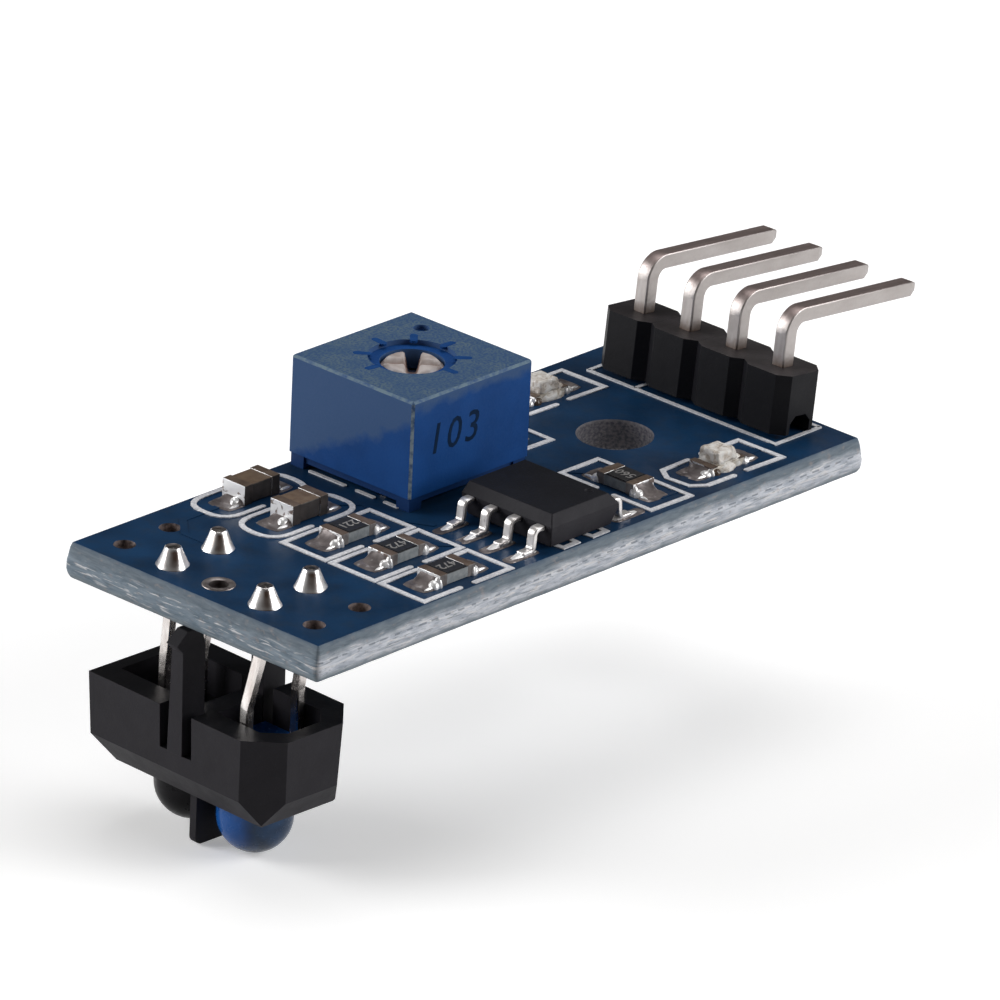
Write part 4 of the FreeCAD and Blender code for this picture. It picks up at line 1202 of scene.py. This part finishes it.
def make_cones():
    """Solder of the sensor's leads on top, and of the header and the trimmer underneath."""
    sensor = [(x, y, i * 4 + j * 9) for i, x in enumerate(SENSOR_XS) for j, y in enumerate(SENSOR_YS)]
    header = [(HEADER_X, y, j * 5) for j, y in enumerate(HEADER_YS)]
    trimmer = [(x, y, x) for x, y in TRIMMER_PINS]
    for node, name, spots, base_radius, top_radius, height, core, face, out in (
            ("sensor_solder", "sensor_lead_cones", sensor, SENSOR_CONE, 0.33, 0.8, 0.2, BOARD_TOP, 1),
            ("header_solder", "header_pin_cones", header, HEADER_CONE, 0.52, 0.9, 0.4, BOARD_BOTTOM, -1),
            ("trimmer_solder", "trimmer_pin_cones", trimmer, TRIMMER_CONE, 0.4, 0.7, 0.3, BOARD_BOTTOM, -1)):
        bm = bmesh.new()
        for x, y, seed in spots:
            cone_of_solder(bm, x, y, base_radius, top_radius, height, core, seed, face, out)
        stand_in(node, name, bm, smooth_angle=50)


def make_lands():
    """Bare tinned ring round the spare plated hole, on both faces."""
    bm = bmesh.new()
    section = ((RING_HOLE, 0), (RING_LAND, 0),
               (RING_LAND * 0.97, LAND_HEIGHT), (RING_HOLE * 1.1, LAND_HEIGHT))
    for face, out in ((BOARD_TOP, 1), (BOARD_BOTTOM, -1)):
        rings = [ring_of(bm, circle_points(*RING_PLACE, radius, 36), face + out * z) for radius, z in section]
        for a, b in zip(rings, rings[1:] + rings[:1]):
            wall_between(bm, a, b)
    piece("spare_hole_lands", bm, ["plating"], 40)


def make_tracks():
    """Copper tracks that stand out a little under the mask on both faces."""
    bm = bmesh.new()
    top = [
        [(-17.2, 5.4), (-19.4, 5.4), (-20.33, 4.4), (-20.33, 3.2)],
        [(-13.9, 2.69), (-12.9, 1.8), (-12.9, -0.4), (-12.3, -1.5)],
        [(-13.9, -2.67), (-13.2, -3.4), (-12.7, -3.4)],
        [(-5.4, -2.15), (-4.4, -1.2), (-3.54, -2.2)],
        [(2.6, -4.9), (4.6, -4.9), (5.5, -4.2)],
        [(-1.2, -4.9), (-2, -5.6), (-3.4, -5.6)],
    ]
    bottom = [
        [(SENSOR_XS[1], SENSOR_YS[0]), (-18.6, -4.2), (-8, -4.2), (-5, -3.7), (HEADER_X, HEADER_YS[0])],
        [(SENSOR_XS[1], SENSOR_YS[1]), (-18, 4.6), (-14, 4.6), TRIMMER_PINS[0]],
        [TRIMMER_PINS[1], (-6.6, 5.7), (1.5, 5.7), (HEADER_X, HEADER_YS[3])],
        [TRIMMER_PINS[2], (-4.2, 2.9), (2.6, 2.9), (HEADER_X, HEADER_YS[2])],
        [(-13, -1), (-8, -1), (-6, -2.6), (2, -2.6), (HEADER_X, HEADER_YS[1])],
    ]
    for path in top:
        strip(bm, path, TRACK_WIDTH, BOARD_TOP, TRACK_HEIGHT)
    for path in bottom:
        strip(bm, path, TRACK_WIDTH_BELOW, BOARD_BOTTOM, -TRACK_HEIGHT)
    piece("copper_tracks", bm, ["solder_mask"])


def plain_number(name, digits, size, place, finish):
    """Flat figures, centred on the origin in the XY plane and then put in their place."""
    curve = bpy.data.curves.new(name, "FONT")
    curve.body = digits
    curve.size = size * MM
    curve.extrude = FIGURE_DEPTH * MM
    curve.offset = 0.006 * MM
    curve.space_word = 0.35
    curve.align_x = "CENTER"
    curve.align_y = "CENTER"
    curve.resolution_u = 3
    text = new_object(name + "_text", curve)
    bpy.context.view_layer.update()
    mesh = bpy.data.meshes.new_from_object(text)
    bpy.data.objects.remove(text)
    mesh.transform(place)
    mesh.name = name
    obj = new_object(name, mesh)
    mesh.materials.clear()
    paint(mesh, finish)
    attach(obj, "module")


def make_digits():
    """Plain numbers: values on the black coats of the chip resistors and on the trimmer's side."""
    for number, digits in enumerate(("221", "472", "472", "560", "560"), 1):
        node = "resistor_%d" % number
        turn = 180 if number < 4 else 90
        c = centre_mm(node)
        spot = Vector((c.x, c.y, box_mm(node)[1].z + FIGURE_GAP)) * MM
        place = Matrix.Translation(spot) @ Matrix.Rotation(math.radians(turn), 4, "Z")
        plain_number(node + "_digits", digits, RESISTOR_FIGURES, place, "digits")
    lo, hi = box_mm("trimmer_body")
    spot = Vector(((lo.x + hi.x) / 2 - 1, lo.y - FIGURE_GAP, 2.8)) * MM
    slant = Matrix.Shear("XZ", 4, (0.16, 0)) @ Matrix.Diagonal((0.95, 1, 1, 1))
    place = Matrix.Translation(spot) @ Matrix.Rotation(math.radians(90), 4, "X") @ slant
    plain_number("trimmer_digits", "1 0 3", TRIMMER_FIGURES, place, "dark_digits")


def aim(obj, azimuth, elevation, distance, roll=0):
    """Stand an object off from the view's target and turn it to face the target."""
    a, e = math.radians(azimuth), math.radians(elevation)
    back = Vector((math.sin(a) * math.cos(e), -math.cos(a) * math.cos(e), math.sin(e))) * distance
    facing = back.to_track_quat("Z", "Y").to_matrix().to_4x4()
    turn = Matrix.Rotation(math.radians(roll), 4, "Z")
    obj.matrix_world = Matrix.Translation((Vector(VIEW_TARGET) + back) * MM) @ facing @ turn


def make_camera():
    camera = bpy.data.cameras.new("camera")
    camera.sensor_width = SENSOR_WIDTH
    camera.lens = LENS
    camera.clip_start = 0.01
    camera.clip_end = 20
    obj = new_object("camera", camera)
    aim(obj, VIEW_AZIMUTH, VIEW_ELEVATION, VIEW_DISTANCE, VIEW_ROLL)
    bpy.context.scene.camera = obj


def make_lamps():
    """Soft square lamps, each as strong as its share of a plain light level asks at its distance."""
    for name, (side, elevation, distance, size, share) in LAMPS.items():
        lamp = bpy.data.lights.new(name, "AREA")
        lamp.shape = "SQUARE"
        lamp.size = size * MM
        lamp.energy = share * math.pi ** 2 * (distance * MM) ** 2
        aim(new_object(name, lamp), VIEW_AZIMUTH + side, elevation, distance)


def make_world():
    """Even, dim sky. The two side lamps give most of the light."""
    world = bpy.data.worlds.new("studio")
    bpy.context.scene.world = world
    world.use_nodes = True
    world.node_tree.nodes["Background"].inputs["Color"].default_value = (*SKY, 1)


def make_floor():
    """Pale floor. Camera, glossy and transmission rays see it a little lifted, with the shadow kept."""
    bm = bmesh.new()
    half = FLOOR_HALF * MM
    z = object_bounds()[0].z - FLOOR_GAP * MM
    bm.faces.new(ring_of(bm, ((-half, -half), (half, -half), (half, half), (-half, half)), z))
    mesh = new_mesh("floor", bm)
    floor = new_object("floor", mesh)
    f = Finish("pale_floor", 0.9)
    path = f.add("ShaderNodeLightPath")
    seen = path.outputs["Is Camera Ray"]
    for ray in ("Is Glossy Ray", "Is Transmission Ray"):
        seen = f.sum("MAXIMUM", seen, path.outputs[ray])
    f.tint(f.mix(seen, (FLOOR_BOUNCE,) * 3, FLOOR_WHITE))
    f.put("Emission Color", (1, 1, 1, 1))
    f.put("Emission Strength", f.times(seen, FLOOR_LIFT))
    mesh.materials.append(f.material)


dress_nodes()
soften_nodes()
make_resistors()
make_rotor()
make_dial_print()
make_header_units()
make_lamp_tops()
make_board()
make_print()
make_pad_solder()
make_chip_solder()
make_cones()
make_lands()
make_tracks()
make_digits()
make_camera()
make_world()
make_lamps()
bpy.context.scene.view_settings.view_transform = "Standard"
make_floor()
